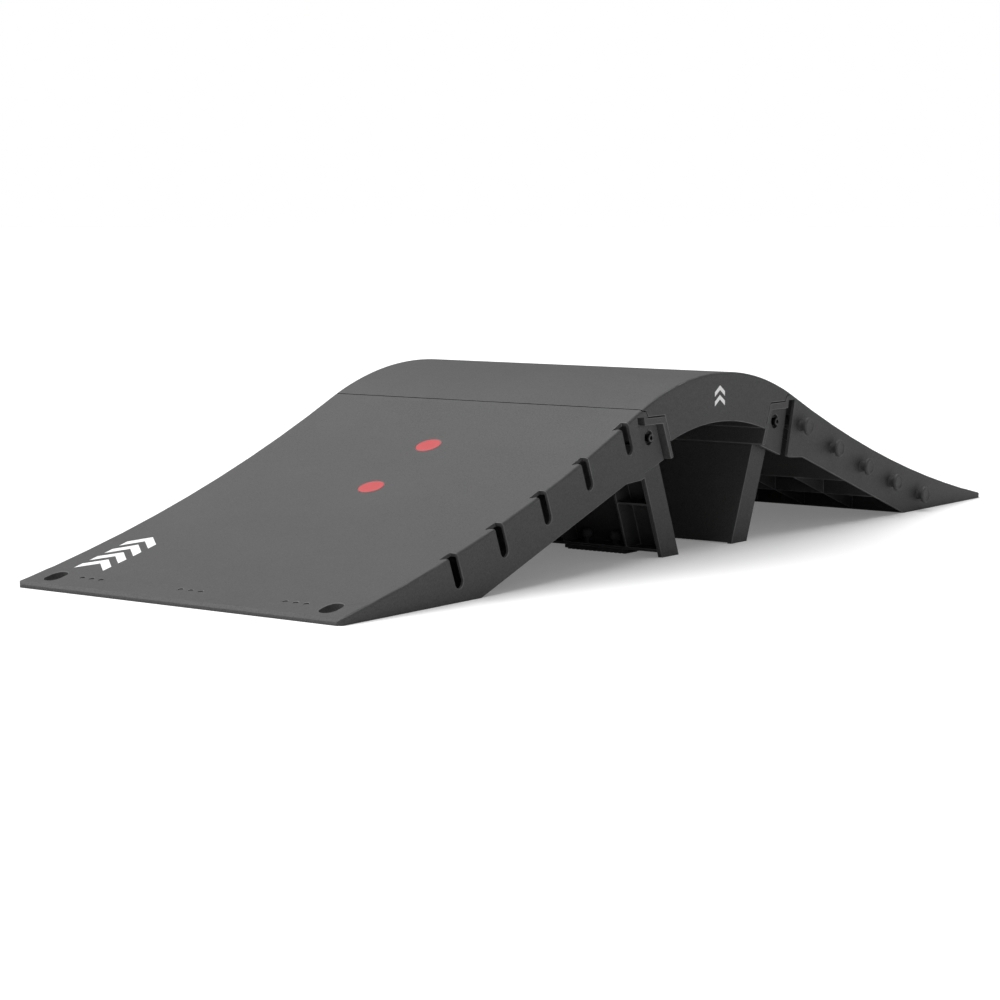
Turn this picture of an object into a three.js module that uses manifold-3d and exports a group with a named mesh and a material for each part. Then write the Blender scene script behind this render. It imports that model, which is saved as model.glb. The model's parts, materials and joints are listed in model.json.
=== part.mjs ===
// A modular folding street ramp: two kicker ramps with swing-out legs, and a bridge that drops in
// between them.
// Millimetres. X runs along the ride, Y across it and Z up, with the origin on the floor under the crest.
// One ramp is modelled on the -X side; the other is the same moulding turned half a turn about Z.
import * as THREE from "three";
import { mergeVertices } from "three/addons/utils/BufferGeometryUtils.js";
import Module from "manifold-3d";

const wasm = await Module();
wasm.setup();

// Overall sizes
const rampWidth = 600;
const rampRun = 716; // from the toe to the seam, along X
const seamDistance = 224; // from the middle to the seam
const seamHeight = 237;
const toeHeight = 8.8;
const deckRadius = 3240; // hollow curve of the riding surface
const bridgeRise = 45.4; // crest above the seam
const edgeRadius = 4; // rounding along the side edges of the riding surface

// Wall thicknesses of the mouldings
const plateThickness = 6;
const wallThickness = 5;
const ribThickness = 3;
const restGap = 0.3; // between pieces that rest on each other

// The stepped nose that carries the bridge
const shelfLength = 10.5;
const shelfDrop = 3.8;
const riserRun = 5.5;
const ledgeDrop = 13.5;
const ledgeLength = 47;
const noseRun = 27.2;
const noseDrop = 64.7;
const nosePlate = 8.5; // end wall, measured along X
const ledgePlate = 11;
const seamGap = 1.6; // open joint between the bridge and the nose

// Lower edge of the side walls, from the nose to the floor
const noseUndercutRun = 89.5;
const noseUndercutDrop = 28.4;
const flatRun = 43.3;
const flatDrop = 2.7;
const floorContactLength = 309.6;

// Toe
const toeLip = 4.8;
const toeChamfer = 5;
const toeCornerRadius = 10;
const toeBlockLength = 72;
const stakeFromToe = 35;
const stakeInset = 44;
const stakeWidth = 27;
const stakeLength = 38;

// Ribs under the deck
const deckRibPitch = 98;
const deckRibsEachSide = 2;
const shallowRibDepth = 18;

// Links that join ramps side by side
const linkCount = 5;
const linkPitch = 106.2;
const firstLinkFromSeam = 33.8;
const linkDepth = 41.5; // centre of the seat, straight down from the riding surface
const linkSlotWidth = 19;
const linkSlotLean = THREE.MathUtils.degToRad(21.2); // towards the toe as it rises
const linkNotchInboard = 13; // how far the slot's mouth reaches in from the side edge
const linkNotchFlare = 7.5;
const linkNotchDrop = 8;
const linkNeckClearance = 1;
const studHeadRadius = 14.5;
const studHeadThickness = 6;
const studNeckLength = 12.5;
const studSpigotRadius = 7;
const studCollarRadius = 10;
const studCollarThickness = 3;
const fitClearance = 0.3;

// Hinge
const hingeFromSeam = 34;
const hingeBelowSeam = 45;
const hingeRecess = 10;
const hingePanelThickness = 8;
const hingeSlotWidth = 6;
const recessWallFromSeam = 13.5; // where the side wall stops at the top of the hinge recess
const recessWallLean = 0.2485; // X per Z of the side wall's end
const recessTopRise = 13; // above the underside of the ledge
const recessTopPastSeam = 6;
const recessDepthBelowAxis = 92;
const recessTopTaper = 2;
const panelGrooveWidth = 1.6;
const panelGrooveDepth = 2;
const counterboreRadius = 11.5;
const counterboreDepth = 7;
const hingeBossRadius = 16;
const boltRadius = 4;
const boltHeadRadius = 6.5;
const boltHeadLength = 8;
const boltHeadSunk = 5.5; // head face below the side wall's face
const socketAcrossFlats = 6;
const socketDepth = 4;
const sleeveRadius = 6;
const washerRadius = 9;
const washerThickness = 1.6;
const nutAcrossFlats = 13;
const nutThickness = 6.8;
const boltTail = 2.5;

// Leg
const legLean = THREE.MathUtils.degToRad(21.8);
const legSideInset = 24;
const legBackOffset = 13.2; // open back from the hinge axis
const legFaceThickness = 5;
const legFlangeThickness = 8;
const legRibThickness = 4;
const legRibInset = 2.2;
const legEarRadius = 17;
const legFaceStart = 28; // how far below the axis the smooth face begins
const legCrossRibHeight = 83;
const legShelfThickness = 5;
const legFaceLift = 1.5; // bottom edge of the smooth face above the floor
const legShelfHeight = 7.5; // underside of the shelf that stands on the foot pads
const footCentre = 150;
const footWidth = 120;
const footStudSpacing = 54;
const footStudSetBack = 6; // towards the open back, from the middle of the leg
const footStudRadius = 4;
const footStudHeadRadius = 9;
const footStudHeadBottom = 18.5; // above the floor
const footStudHeadShape = [
  [0.72, 0],
  [1, 0.38],
  [0.9, 0.74],
  [0.5, 0.96],
  [0, 1],
]; // radius and height of the head's outline, as shares of its own
const footStudHeadHeight = 15;

// Rubber toe pads
const toePadFromToe = 40;
const toePadOffset = 190;
const toePadSize = 72;
const toePadDepth = 28;
const toePadThickness = 3;
const toeStudPitch = 18.5;
const toeStudRadius = 3.8;
const toeStudSunk = 0.6;

// Round markers let into the deck
const markerFromSeam = [139.5, 279.5];
const markerRadius = 20;
const markerThickness = 2.1;
const markerProud = 0.4;

// Bridge
const bridgeWallDepth = 78;
const bridgeRibPitch = 98;
const bridgeCrossRibPitch = 56;
const bridgeCrossRibsEachSide = 2;
const bridgeRibRecess = 9;
const bridgeRestPadWidth = 40;
const bridgeRestPadLength = 26;

// Smoothness
const deckSteps = 10;
const bridgeSteps = 14;
const roundSides = 12;
const counterboreSides = 20;
const reach = 400; // anything longer than the height, for cutting shapes

const halfWidth = rampWidth / 2;
const toeX = -(seamDistance + rampRun);
const ledgeZ = seamHeight - ledgeDrop;
const shelfZ = seamHeight - shelfDrop;
const innerHalf = halfWidth - wallThickness;
const legHalf = halfWidth - legSideInset;
const hingeX = -(seamDistance - hingeFromSeam);
const hingeZ = seamHeight - hingeBelowSeam;

// The leg's smooth face bears on the back of the nose's end wall, at one end of where they pass
const noseLean = Math.atan(noseRun / noseDrop);
const noseInnerFromHinge = (noseFaceX(hingeZ) - nosePlate - hingeX) * Math.cos(noseLean);
const leanDifference = noseLean - legLean;
const passedDrop = hingeZ - (ledgeZ - noseDrop) + noseInnerFromHinge * Math.sin(legLean);
const passEnds = [legFaceStart, passedDrop / Math.cos(legLean)];
const legFaceOffset =
  Math.min(
    ...passEnds.map(
      (down) => noseInnerFromHinge / Math.cos(leanDifference) + down * Math.tan(leanDifference),
    ),
  ) - restGap;

// Circle of the riding surface, through the toe and the seam, with its centre above
const chord = new THREE.Vector2(rampRun, seamHeight - toeHeight);
const chordMiddle = new THREE.Vector2(toeX + chord.x / 2, toeHeight + chord.y / 2);
const centreOffset = Math.sqrt(deckRadius ** 2 - chord.length() ** 2 / 4) / chord.length();
const deckCentreX = chordMiddle.x - chord.y * centreOffset;
const deckCentreZ = chordMiddle.y + chord.x * centreOffset;

// Circle of the bridge, through both seams and the crest
const bridgeRadius = (seamDistance ** 2 + bridgeRise ** 2) / (2 * bridgeRise);
const bridgeCentreZ = seamHeight + bridgeRise - bridgeRadius;

const moulding = new THREE.MeshStandardMaterial({ color: 0x4b4b4b, roughness: 0.62, metalness: 0 });
const rubber = new THREE.MeshStandardMaterial({ color: 0x1d1d1e, roughness: 0.85, metalness: 0 });
const steel = new THREE.MeshStandardMaterial({ color: 0x9a9a9c, roughness: 0.35, metalness: 1 });
const redMarker = new THREE.MeshStandardMaterial({ color: 0xdd6066, roughness: 0.5, metalness: 0 });

// Height of the riding surface, or of a curve the given depth below it
function deckHeight(x, depth = 0) {
  return deckCentreZ - Math.sqrt((deckRadius + depth) ** 2 - (x - deckCentreX) ** 2);
}

function deckSlope(x) {
  return Math.asin((x - deckCentreX) / deckRadius);
}

// Evenly spaced places on a curve, the same ones whatever stretch is asked for, and the stretch's own ends
function stations(fromX, toX, startX, pitch) {
  const low = Math.min(fromX, toX);
  const high = Math.max(fromX, toX);
  const places = [low];
  for (let i = Math.ceil((low - startX) / pitch - 0.02); startX + i * pitch < high; i += 1) {
    if (startX + i * pitch > low + 1) places.push(startX + i * pitch);
  }
  if (high - places[places.length - 1] < 1) places.pop();
  places.push(high);
  return fromX < toX ? places : places.reverse();
}

function deckArc(fromX, toX, depth = 0) {
  return stations(fromX, toX, toeX, rampRun / deckSteps).map((x) => [x, deckHeight(x, depth)]);
}

function bridgeArc(fromX, toX, depth = 0) {
  return stations(fromX, toX, -seamDistance, (2 * seamDistance) / bridgeSteps).map((x) => [
    x,
    bridgeCentreZ + Math.sqrt((bridgeRadius - depth) ** 2 - x ** 2),
  ]);
}

// X of the nose's slanted end face at a height
function noseFaceX(z) {
  const top = -seamDistance + shelfLength + riserRun + ledgeLength;
  return top + ((ledgeZ - z) * noseRun) / noseDrop;
}

// Solids
function solid(geometry) {
  geometry.deleteAttribute("normal");
  geometry.deleteAttribute("uv");
  const merged = mergeVertices(geometry, 1e-4);
  const corners = merged.index.array;
  const kept = [];
  for (let i = 0; i < corners.length; i += 3) {
    const [a, b, c] = [corners[i], corners[i + 1], corners[i + 2]];
    if (a !== b && b !== c && c !== a) kept.push(a, b, c);
  }
  return new wasm.Manifold(
    new wasm.Mesh({
      numProp: 3,
      vertProperties: merged.attributes.position.array,
      triVerts: new Uint32Array(kept),
    }),
  );
}

function flatShape(points) {
  return new THREE.Shape(points.map(([a, b]) => new THREE.Vector2(a, b)));
}

// A side-view outline in X and Z, carried from one Y to another
function slabAcross(points, fromY, toY) {
  const depth = Math.abs(toY - fromY);
  const geometry = new THREE.ExtrudeGeometry(flatShape(points), { depth, bevelEnabled: false });
  geometry.rotateX(Math.PI / 2);
  geometry.translate(0, Math.max(fromY, toY), 0);
  return solid(geometry);
}

// The same across the full width, with its end edges rounded
function crownedSlab(points, width, radius) {
  const geometry = new THREE.ExtrudeGeometry(flatShape(points), {
    depth: width - 2 * radius,
    bevelThickness: radius,
    bevelSize: radius,
    bevelOffset: -radius,
    bevelSegments: 2,
  });
  geometry.rotateX(Math.PI / 2);
  geometry.translate(0, width / 2 - radius, 0);
  return solid(geometry);
}

// A plan outline in X and Y, carried from one height to another
function slabUp(shape, fromZ, toZ) {
  const geometry = new THREE.ExtrudeGeometry(shape, {
    depth: toZ - fromZ,
    bevelEnabled: false,
    curveSegments: 6,
  });
  geometry.translate(0, 0, fromZ);
  return solid(geometry);
}

function box(low, high) {
  const size = high.map((value, i) => value - low[i]);
  const geometry = new THREE.BoxGeometry(...size);
  geometry.translate(low[0] + size[0] / 2, low[1] + size[1] / 2, low[2] + size[2] / 2);
  return solid(geometry);
}

// A rod or hole along Y
function rod(x, z, radius, fromY, toY, sides = roundSides) {
  const geometry = new THREE.CylinderGeometry(radius, radius, Math.abs(toY - fromY), sides);
  geometry.translate(x, (fromY + toY) / 2, z);
  return solid(geometry);
}

// A round piece about Y; the profile's second value runs outwards from the middle of the ramp
function turned(profile, x, z, side) {
  const points = profile.map(([radius, y]) => new THREE.Vector2(radius, y * side));
  const closed = [...points, points[0]];
  const doubledArea = points.reduce((sum, p, i) => sum + p.cross(closed[i + 1]), 0);
  if (doubledArea < 0) closed.reverse();
  const geometry = new THREE.LatheGeometry(closed, roundSides);
  geometry.translate(x, 0, z);
  return solid(geometry);
}

function join(solids) {
  return solids.reduce((whole, piece) => whole.add(piece));
}

function cutAway(body, tools) {
  return tools.reduce((left, tool) => left.subtract(tool), body);
}

function named(name, body, material) {
  const made = body.getMesh();
  const geometry = new THREE.BufferGeometry();
  geometry.setAttribute("position", new THREE.BufferAttribute(made.vertProperties, 3));
  geometry.setIndex(new THREE.BufferAttribute(made.triVerts, 1));
  const faceted = geometry.toNonIndexed();
  faceted.computeVertexNormals();
  const mesh = new THREE.Mesh(faceted, material);
  mesh.name = name;
  return mesh;
}

// Places along the ramp
function linkX(index) {
  return -(seamDistance + firstLinkFromSeam + index * linkPitch);
}

function linkZ(index) {
  return deckHeight(linkX(index)) - linkDepth;
}

function linkIndices() {
  return Array.from({ length: linkCount }, (_, index) => index);
}

function ribOffsets(pitch, eachSide) {
  const offsets = [0];
  for (let i = 1; i <= eachSide; i += 1) offsets.push(-i * pitch, i * pitch);
  return offsets;
}

// Side view of the ramp with everything above the riding surface left open for the crown to close
function rampSideOutline() {
  const shelfEnd = -seamDistance + shelfLength;
  const ledgeStart = shelfEnd + riserRun;
  const noseBottomZ = ledgeZ - noseDrop;
  const noseBottomX = noseFaceX(noseBottomZ);
  const undercutX = noseBottomX - noseUndercutRun;
  const undercutZ = noseBottomZ - noseUndercutDrop;
  return [
    [toeX, 0],
    [toeX, toeLip],
    [toeX + toeChamfer, toeLip + toeChamfer],
    [toeX + toeChamfer, reach],
    [-seamDistance, reach],
    [-seamDistance, shelfZ],
    [shelfEnd, shelfZ],
    [ledgeStart, ledgeZ],
    [ledgeStart + ledgeLength, ledgeZ],
    [noseBottomX, noseBottomZ],
    [undercutX, undercutZ],
    [undercutX - flatRun, undercutZ - flatDrop],
    [toeX + floorContactLength, 0],
  ];
}

// Everything below the riding surface, with rounded side edges
function deckCrown() {
  const arc = deckArc(toeX - toeCornerRadius, -seamDistance + shelfLength);
  const farX = noseFaceX(0) + reach;
  const top = [farX, deckHeight(-seamDistance) + reach];
  const outline = [[toeX - reach, -reach], [toeX - reach, arc[0][1]], ...arc, top, [farX, -reach]];
  return crownedSlab(outline, rampWidth, edgeRadius);
}

// Plan of the ramp with rounded toe corners
function rampPlan() {
  const shape = new THREE.Shape();
  const nearX = toeX + toeCornerRadius;
  shape.moveTo(0, -halfWidth);
  shape.lineTo(0, halfWidth);
  shape.lineTo(nearX, halfWidth);
  shape.absarc(nearX, halfWidth - toeCornerRadius, toeCornerRadius, Math.PI / 2, Math.PI, false);
  shape.absarc(nearX, -halfWidth + toeCornerRadius, toeCornerRadius, Math.PI, 1.5 * Math.PI, false);
  return shape;
}

// The space between the side walls, from behind the toe block to the nose's end wall
function deckHollowOutline() {
  const plateEndX = -seamDistance - wallThickness;
  const backX = toeX + toeBlockLength;
  const ledgeUnderZ = ledgeZ - ledgePlate;
  return [
    [backX, -reach],
    ...deckArc(backX, plateEndX, plateThickness),
    [-seamDistance + shelfLength - wallThickness, ledgeUnderZ],
    [noseFaceX(ledgeUnderZ) - nosePlate, ledgeUnderZ],
    [noseFaceX(0) - nosePlate, 0],
    [noseFaceX(0) - nosePlate, -reach],
  ];
}

// Ribs under the deck: shallow over the folded leg, full depth from the bulkhead to the toe
function deckRibs() {
  const bulkheadX = linkX(1) - linkPitch / 2;
  const shallowFromX = -seamDistance - wallThickness;
  const shallow = [
    ...deckArc(bulkheadX, shallowFromX, plateThickness - 1),
    ...deckArc(shallowFromX, bulkheadX, plateThickness + shallowRibDepth),
  ];
  const backX = toeX + toeBlockLength - 1;
  const deep = [...deckArc(backX, bulkheadX, plateThickness - 1), [bulkheadX, -reach], [backX, -reach]];
  const ribs = [];
  for (const y of ribOffsets(deckRibPitch, deckRibsEachSide)) {
    ribs.push(slabAcross(shallow, y - ribThickness / 2, y + ribThickness / 2));
    ribs.push(slabAcross(deep, y - ribThickness / 2, y + ribThickness / 2));
  }
  for (const index of linkIndices()) {
    const x = linkX(index) - linkPitch / 2;
    const top = deckHeight(x) - plateThickness + 1;
    const bottom = index === 0 ? top - shallowRibDepth : -reach;
    const half = ribThickness / 2;
    ribs.push(box([x - half, -innerHalf - 1, bottom], [x + half, innerHalf + 1, top]));
  }
  return ribs;
}

// Recess in the side wall around the hinge, seen from the side
function hingeRecessOutline(sideClearance = 0) {
  const ledgeUnderZ = ledgeZ - ledgePlate;
  const topZ = ledgeUnderZ + recessTopRise;
  const bottomZ = hingeZ - recessDepthBelowAxis;
  const wallTopX = -seamDistance - recessWallFromSeam + sideClearance;
  const noseEdge = (z) => noseFaceX(z) - nosePlate - sideClearance;
  return [
    [wallTopX, topZ],
    [-seamDistance + recessTopPastSeam, topZ],
    [-seamDistance + recessTopPastSeam + recessTopTaper, ledgeUnderZ],
    [noseEdge(ledgeUnderZ), ledgeUnderZ],
    [noseEdge(bottomZ), bottomZ],
    [wallTopX + (topZ - bottomZ) * recessWallLean, bottomZ],
  ];
}

// Panel that carries the hinge bolt, standing in the recess with an open slot on each side
function hingePanelOutline() {
  const ledgeUnderZ = ledgeZ - ledgePlate;
  const [wallTop, , , noseTop, noseBottom, wallBottom] = hingeRecessOutline(hingeSlotWidth);
  const wallX = wallTop[0] + recessTopRise * recessWallLean;
  const intoLedge = ledgeUnderZ + 1;
  return [[wallX, intoLedge], [noseTop[0], intoLedge], noseBottom, wallBottom];
}

function belowNoseCut() {
  const noseBottomZ = ledgeZ - noseDrop;
  const noseBottomX = noseFaceX(noseBottomZ);
  const undercutX = noseBottomX - noseUndercutRun;
  const undercutZ = noseBottomZ - noseUndercutDrop;
  const slope = noseUndercutDrop / noseUndercutRun;
  return slabAcross(
    [
      [noseBottomX + reach, noseBottomZ + slope * reach],
      [undercutX, undercutZ],
      [undercutX - reach, undercutZ],
      [undercutX - reach, -reach],
      [noseBottomX + reach, -reach],
    ],
    -halfWidth,
    halfWidth,
  );
}

function hingePanel(side) {
  const face = side * (halfWidth - hingeRecess);
  const back = side * (halfWidth - hingeRecess - hingePanelThickness);
  const bossEnd = side * (legHalf + restGap);
  const panel = slabAcross(hingePanelOutline(), face, back).subtract(belowNoseCut());
  const boss = rod(hingeX, hingeZ, hingeBossRadius, back + side, bossEnd);
  const ledgeUnderZ = ledgeZ - ledgePlate;
  const grooveBack = face - side * panelGrooveDepth;
  const groove = slabAcross(
    [
      [hingeX - ledgeLength, ledgeUnderZ - panelGrooveWidth],
      [hingeX + ledgeLength, ledgeUnderZ - panelGrooveWidth],
      [hingeX + ledgeLength, ledgeUnderZ],
      [hingeX - ledgeLength, ledgeUnderZ],
    ],
    grooveBack,
    face + side,
  );
  return panel.add(boss).subtract(groove);
}

// Slot that takes a link stud's neck from above, with its notch in the riding surface
function linkSlot(index) {
  const x = linkX(index);
  const z = linkZ(index);
  const radius = linkSlotWidth / 2;
  const points = [];
  for (let i = 0; i <= 8; i += 1) {
    const angle = Math.PI + (Math.PI * i) / 8;
    points.push([radius * Math.cos(angle), radius * Math.sin(angle)]);
  }
  points.push([radius, 2 * linkDepth], [-radius, 2 * linkDepth]);
  const leaned = points.map(([a, b]) => [
    x + a * Math.cos(linkSlotLean) - b * Math.sin(linkSlotLean),
    z + a * Math.sin(linkSlotLean) + b * Math.cos(linkSlotLean),
  ]);
  return slabAcross(leaned, -halfWidth - 1, -innerHalf + 0.5);
}

// X where the slot's middle line comes out through the riding surface
function linkMouthX(index) {
  let mouthX = linkX(index);
  for (let i = 0; i < 4; i += 1) {
    mouthX = linkX(index) - (deckHeight(mouthX) - linkZ(index)) * Math.tan(linkSlotLean);
  }
  return mouthX;
}

// The slot's mouth through the plate, wider on the toe side the further in it goes
function linkNotch(index) {
  const half = linkSlotWidth / 2 / Math.cos(linkSlotLean);
  const shape = flatShape([
    [-half, -halfWidth - 1],
    [half, -halfWidth - 1],
    [half, -halfWidth + linkNotchInboard],
    [-half - linkNotchFlare, -halfWidth + linkNotchInboard],
    [-half, -halfWidth],
  ]);
  const depth = linkNotchDrop + linkSlotWidth;
  const geometry = new THREE.ExtrudeGeometry(shape, { depth, bevelEnabled: false });
  geometry.translate(0, 0, -linkNotchDrop);
  geometry.applyMatrix4(new THREE.Matrix4().makeShear(0, 0, 0, 0, -Math.tan(linkSlotLean), 0));
  const mouthX = linkMouthX(index);
  geometry.translate(mouthX, 0, deckHeight(mouthX));
  return solid(geometry);
}

function stakeSlot(side) {
  const radius = stakeWidth / 2;
  const straight = stakeLength / 2 - radius;
  const x = toeX + stakeFromToe;
  const y = side * (halfWidth - stakeInset);
  const shape = new THREE.Shape();
  shape.moveTo(x - straight, y - radius);
  shape.absarc(x + straight, y, radius, -Math.PI / 2, Math.PI / 2, false);
  shape.absarc(x - straight, y, radius, Math.PI / 2, 1.5 * Math.PI, false);
  return slabUp(shape, -1, reach / 4);
}

function toePadPlaces() {
  return [-toePadOffset, 0, toePadOffset];
}

function toePadRecess(y) {
  const x = toeX + toePadFromToe;
  const halfX = toePadDepth / 2 + fitClearance;
  const halfY = toePadSize / 2 + fitClearance;
  return box([x - halfX, y - halfY, -1], [x + halfX, y + halfY, toePadThickness + restGap]);
}

function uprightRod(x, y, radius, fromZ, toZ) {
  const geometry = new THREE.CylinderGeometry(radius, radius, toZ - fromZ, roundSides);
  geometry.rotateX(Math.PI / 2);
  geometry.translate(x, y, (fromZ + toZ) / 2);
  return solid(geometry);
}

function toeStudPlaces(y) {
  return [y - toeStudPitch, y, y + toeStudPitch];
}

function toeStudHoles(y) {
  const x = toeX + toePadFromToe;
  const radius = toeStudRadius + fitClearance;
  return toeStudPlaces(y).map((studY) => uprightRod(x, studY, radius, 0, 4 * toeHeight));
}

// A disc square to the riding surface, from one depth to another
function deckDisc(x, radius, fromDepth, toDepth) {
  const geometry = new THREE.CylinderGeometry(radius, radius, toDepth - fromDepth, 28);
  geometry.translate(0, -(fromDepth + toDepth) / 2, 0);
  geometry.rotateX(Math.PI / 2);
  geometry.rotateY(-deckSlope(x));
  geometry.translate(x, 0, deckHeight(x));
  return solid(geometry);
}

function deckMoulding() {
  const shell = slabAcross(rampSideOutline(), -halfWidth, halfWidth)
    .intersect(deckCrown())
    .intersect(slabUp(rampPlan(), -1, reach));
  const hollow = cutAway(slabAcross(deckHollowOutline(), -innerHalf, innerHalf), deckRibs());
  const recess = [-1, 1].map((side) =>
    slabAcross(hingeRecessOutline(), side * (halfWidth + 1), side * (legHalf + restGap)),
  );
  const panels = [-1, 1].map((side) => hingePanel(side));
  const outward = halfWidth - hingeRecess;
  const boreEnd = outward - counterboreDepth;
  const hingeHoles = [-1, 1].flatMap((side) => [
    rod(hingeX, hingeZ, counterboreRadius, side * (outward + 1), side * boreEnd, counterboreSides),
    rod(hingeX, hingeZ, sleeveRadius + fitClearance, side * outward, side * (legHalf - 1)),
  ]);
  const studHoles = linkIndices().map((index) =>
    rod(linkX(index), linkZ(index), studSpigotRadius + fitClearance, innerHalf - 1, halfWidth + 1),
  );
  const markerPockets = markerFromSeam.map((distance) =>
    deckDisc(
      -(seamDistance + distance),
      markerRadius + restGap,
      -markerThickness,
      markerThickness - markerProud + restGap,
    ),
  );
  return cutAway(join([cutAway(shell, [hollow, ...recess]), ...panels]), [
    ...hingeHoles,
    ...studHoles,
    ...markerPockets,
    ...linkIndices().flatMap((index) => [linkSlot(index), linkNotch(index)]),
    ...[-1, 1].map((side) => stakeSlot(side)),
    ...toePadPlaces().flatMap((y) => [toePadRecess(y), ...toeStudHoles(y)]),
  ]);
}

// A point of the leg: its distance towards the toe from the hinge axis, and its distance down the leg
function legPoint(towardsToe, down) {
  return [
    hingeX - towardsToe * Math.cos(legLean) + down * Math.sin(legLean),
    hingeZ - towardsToe * Math.sin(legLean) - down * Math.cos(legLean),
  ];
}

function legLength(towardsToe, height) {
  return (hingeZ - height - towardsToe * Math.sin(legLean)) / Math.cos(legLean);
}

function legFlange(side) {
  const points = [legPoint(-legFaceOffset, legFaceStart)];
  const start = Math.acos(legBackOffset / legEarRadius);
  for (let i = 0; i <= 10; i += 1) {
    const angle = Math.PI - ((Math.PI - start) * i) / 10;
    points.push(legPoint(legEarRadius * Math.cos(angle), -legEarRadius * Math.sin(angle)));
  }
  points.push(legPoint(legBackOffset, legLength(legBackOffset, 0)));
  points.push(legPoint(-legFaceOffset, legLength(-legFaceOffset, 0)));
  return slabAcross(points, side * legHalf, side * (legHalf - legFlangeThickness));
}

function legPlate(fromOffset, toOffset, fromDown, bottomZ, fromY, toY) {
  const points = [
    legPoint(fromOffset, fromDown),
    legPoint(toOffset, fromDown),
    legPoint(toOffset, legLength(toOffset, bottomZ)),
    legPoint(fromOffset, legLength(fromOffset, bottomZ)),
  ];
  return slabAcross(points, fromY, toY);
}

// A shelf across the leg between its face and its back, at a height
function legShelf(bottomZ, thickness, fromY, toY) {
  const back = legBackOffset - legRibInset;
  const points = [
    legPoint(-legFaceOffset, legLength(-legFaceOffset, bottomZ)),
    legPoint(back, legLength(back, bottomZ)),
    legPoint(back, legLength(back, bottomZ + thickness)),
    legPoint(-legFaceOffset, legLength(-legFaceOffset, bottomZ + thickness)),
  ];
  return slabAcross(points, fromY, toY);
}

function footPlaces() {
  return [-footCentre, footCentre];
}

function legMoulding() {
  const inner = legHalf - legFlangeThickness;
  const back = legBackOffset - legRibInset;
  const faceInner = legFaceThickness - legFaceOffset;
  const half = legRibThickness / 2;
  const face = legPlate(-legFaceOffset, faceInner, legFaceStart, legFaceLift, -inner - 1, inner + 1);
  const footEdges = footPlaces().flatMap((y) => [y - footWidth / 2, y + footWidth / 2]);
  const ribs = [0, ...footEdges].map((y) =>
    legPlate(-legFaceOffset, back, 2 * legFaceStart, legShelfHeight, y - half, y + half),
  );
  const outerRib = footCentre + footWidth / 2;
  const shelves = [
    legShelf(legShelfHeight, legShelfThickness, -inner - 1, inner + 1),
    legShelf(legCrossRibHeight, ribThickness, -inner - 1, -outerRib),
    legShelf(legCrossRibHeight, ribThickness, outerRib, inner + 1),
  ];
  const pivotHoles = [-1, 1].map((side) =>
    rod(hingeX, hingeZ, sleeveRadius + fitClearance, side * (legHalf + 1), side * (inner - 1)),
  );
  const holeRadius = footStudRadius + fitClearance;
  const holeTop = legShelfHeight + legShelfThickness + 1;
  const studHoles = footPlaces().flatMap((y) =>
    footStudPlaces(y).map((studY) => uprightRod(footStudX(), studY, holeRadius, 0, holeTop)),
  );
  return cutAway(join([face, legFlange(-1), legFlange(1), ...ribs, ...shelves]), [
    ...pivotHoles,
    ...studHoles,
  ]);
}

// X of the leg at a height, for a distance towards the toe from the hinge axis
function legX(towardsToe, height) {
  return legPoint(towardsToe, legLength(towardsToe, height))[0];
}

function footStudX() {
  return (legX(-legFaceOffset, 0) + legX(legBackOffset, 0)) / 2 - footStudSetBack;
}

function footStudPlaces(y) {
  return [y - footStudSpacing / 2, y + footStudSpacing / 2];
}

// Rubber pad under the leg's shelf, with two studs pulled up through it
function footPad(y) {
  const padTop = legShelfHeight - restGap;
  const faceX = legX(legFaceThickness - legFaceOffset, legShelfHeight) - restGap;
  const backX = legX(legBackOffset - legRibInset, 0);
  const pad = box([backX, y - footWidth / 2, 0], [faceX, y + footWidth / 2, padTop]);
  const head = footStudHeadShape.map(([width, height]) => [
    footStudHeadRadius * width,
    footStudHeadBottom + footStudHeadHeight * height,
  ]);
  const neck = [
    [0, padTop - 1],
    [footStudRadius, padTop - 1],
    [footStudRadius, footStudHeadBottom],
  ];
  const studs = footStudPlaces(y).map((studY) => {
    const profile = [...neck, ...head].map(([radius, z]) => new THREE.Vector2(radius, z));
    const geometry = new THREE.LatheGeometry(profile, roundSides);
    geometry.rotateX(Math.PI / 2);
    geometry.translate(footStudX(), studY, 0);
    return solid(geometry);
  });
  return join([pad, ...studs]);
}

function toePad(y) {
  const x = toeX + toePadFromToe;
  const pad = box(
    [x - toePadDepth / 2, y - toePadSize / 2, 0],
    [x + toePadDepth / 2, y + toePadSize / 2, toePadThickness],
  );
  const top = deckHeight(x) - toeStudSunk;
  const studs = toeStudPlaces(y).map((studY) =>
    uprightRod(x, studY, toeStudRadius, toePadThickness - 1, top),
  );
  return join([pad, ...studs]);
}

// Mushroom stud held in the side wall by a collar inside
function linkStud(index) {
  const wallIn = innerHalf - restGap;
  const wallOut = halfWidth + restGap;
  const neck = linkSlotWidth / 2 - linkNeckClearance;
  const head = halfWidth + studNeckLength;
  const end = head + studHeadThickness;
  const profile = [
    [0, wallIn - studCollarThickness],
    [studCollarRadius, wallIn - studCollarThickness],
    [studCollarRadius, wallIn],
    [studSpigotRadius, wallIn],
    [studSpigotRadius, wallOut],
    [neck, wallOut],
    [neck, head],
    [studHeadRadius, head],
    [studHeadRadius, end - 2],
    [studHeadRadius - 2, end],
    [0, end],
  ];
  return turned(profile, linkX(index), linkZ(index), 1);
}

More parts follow.
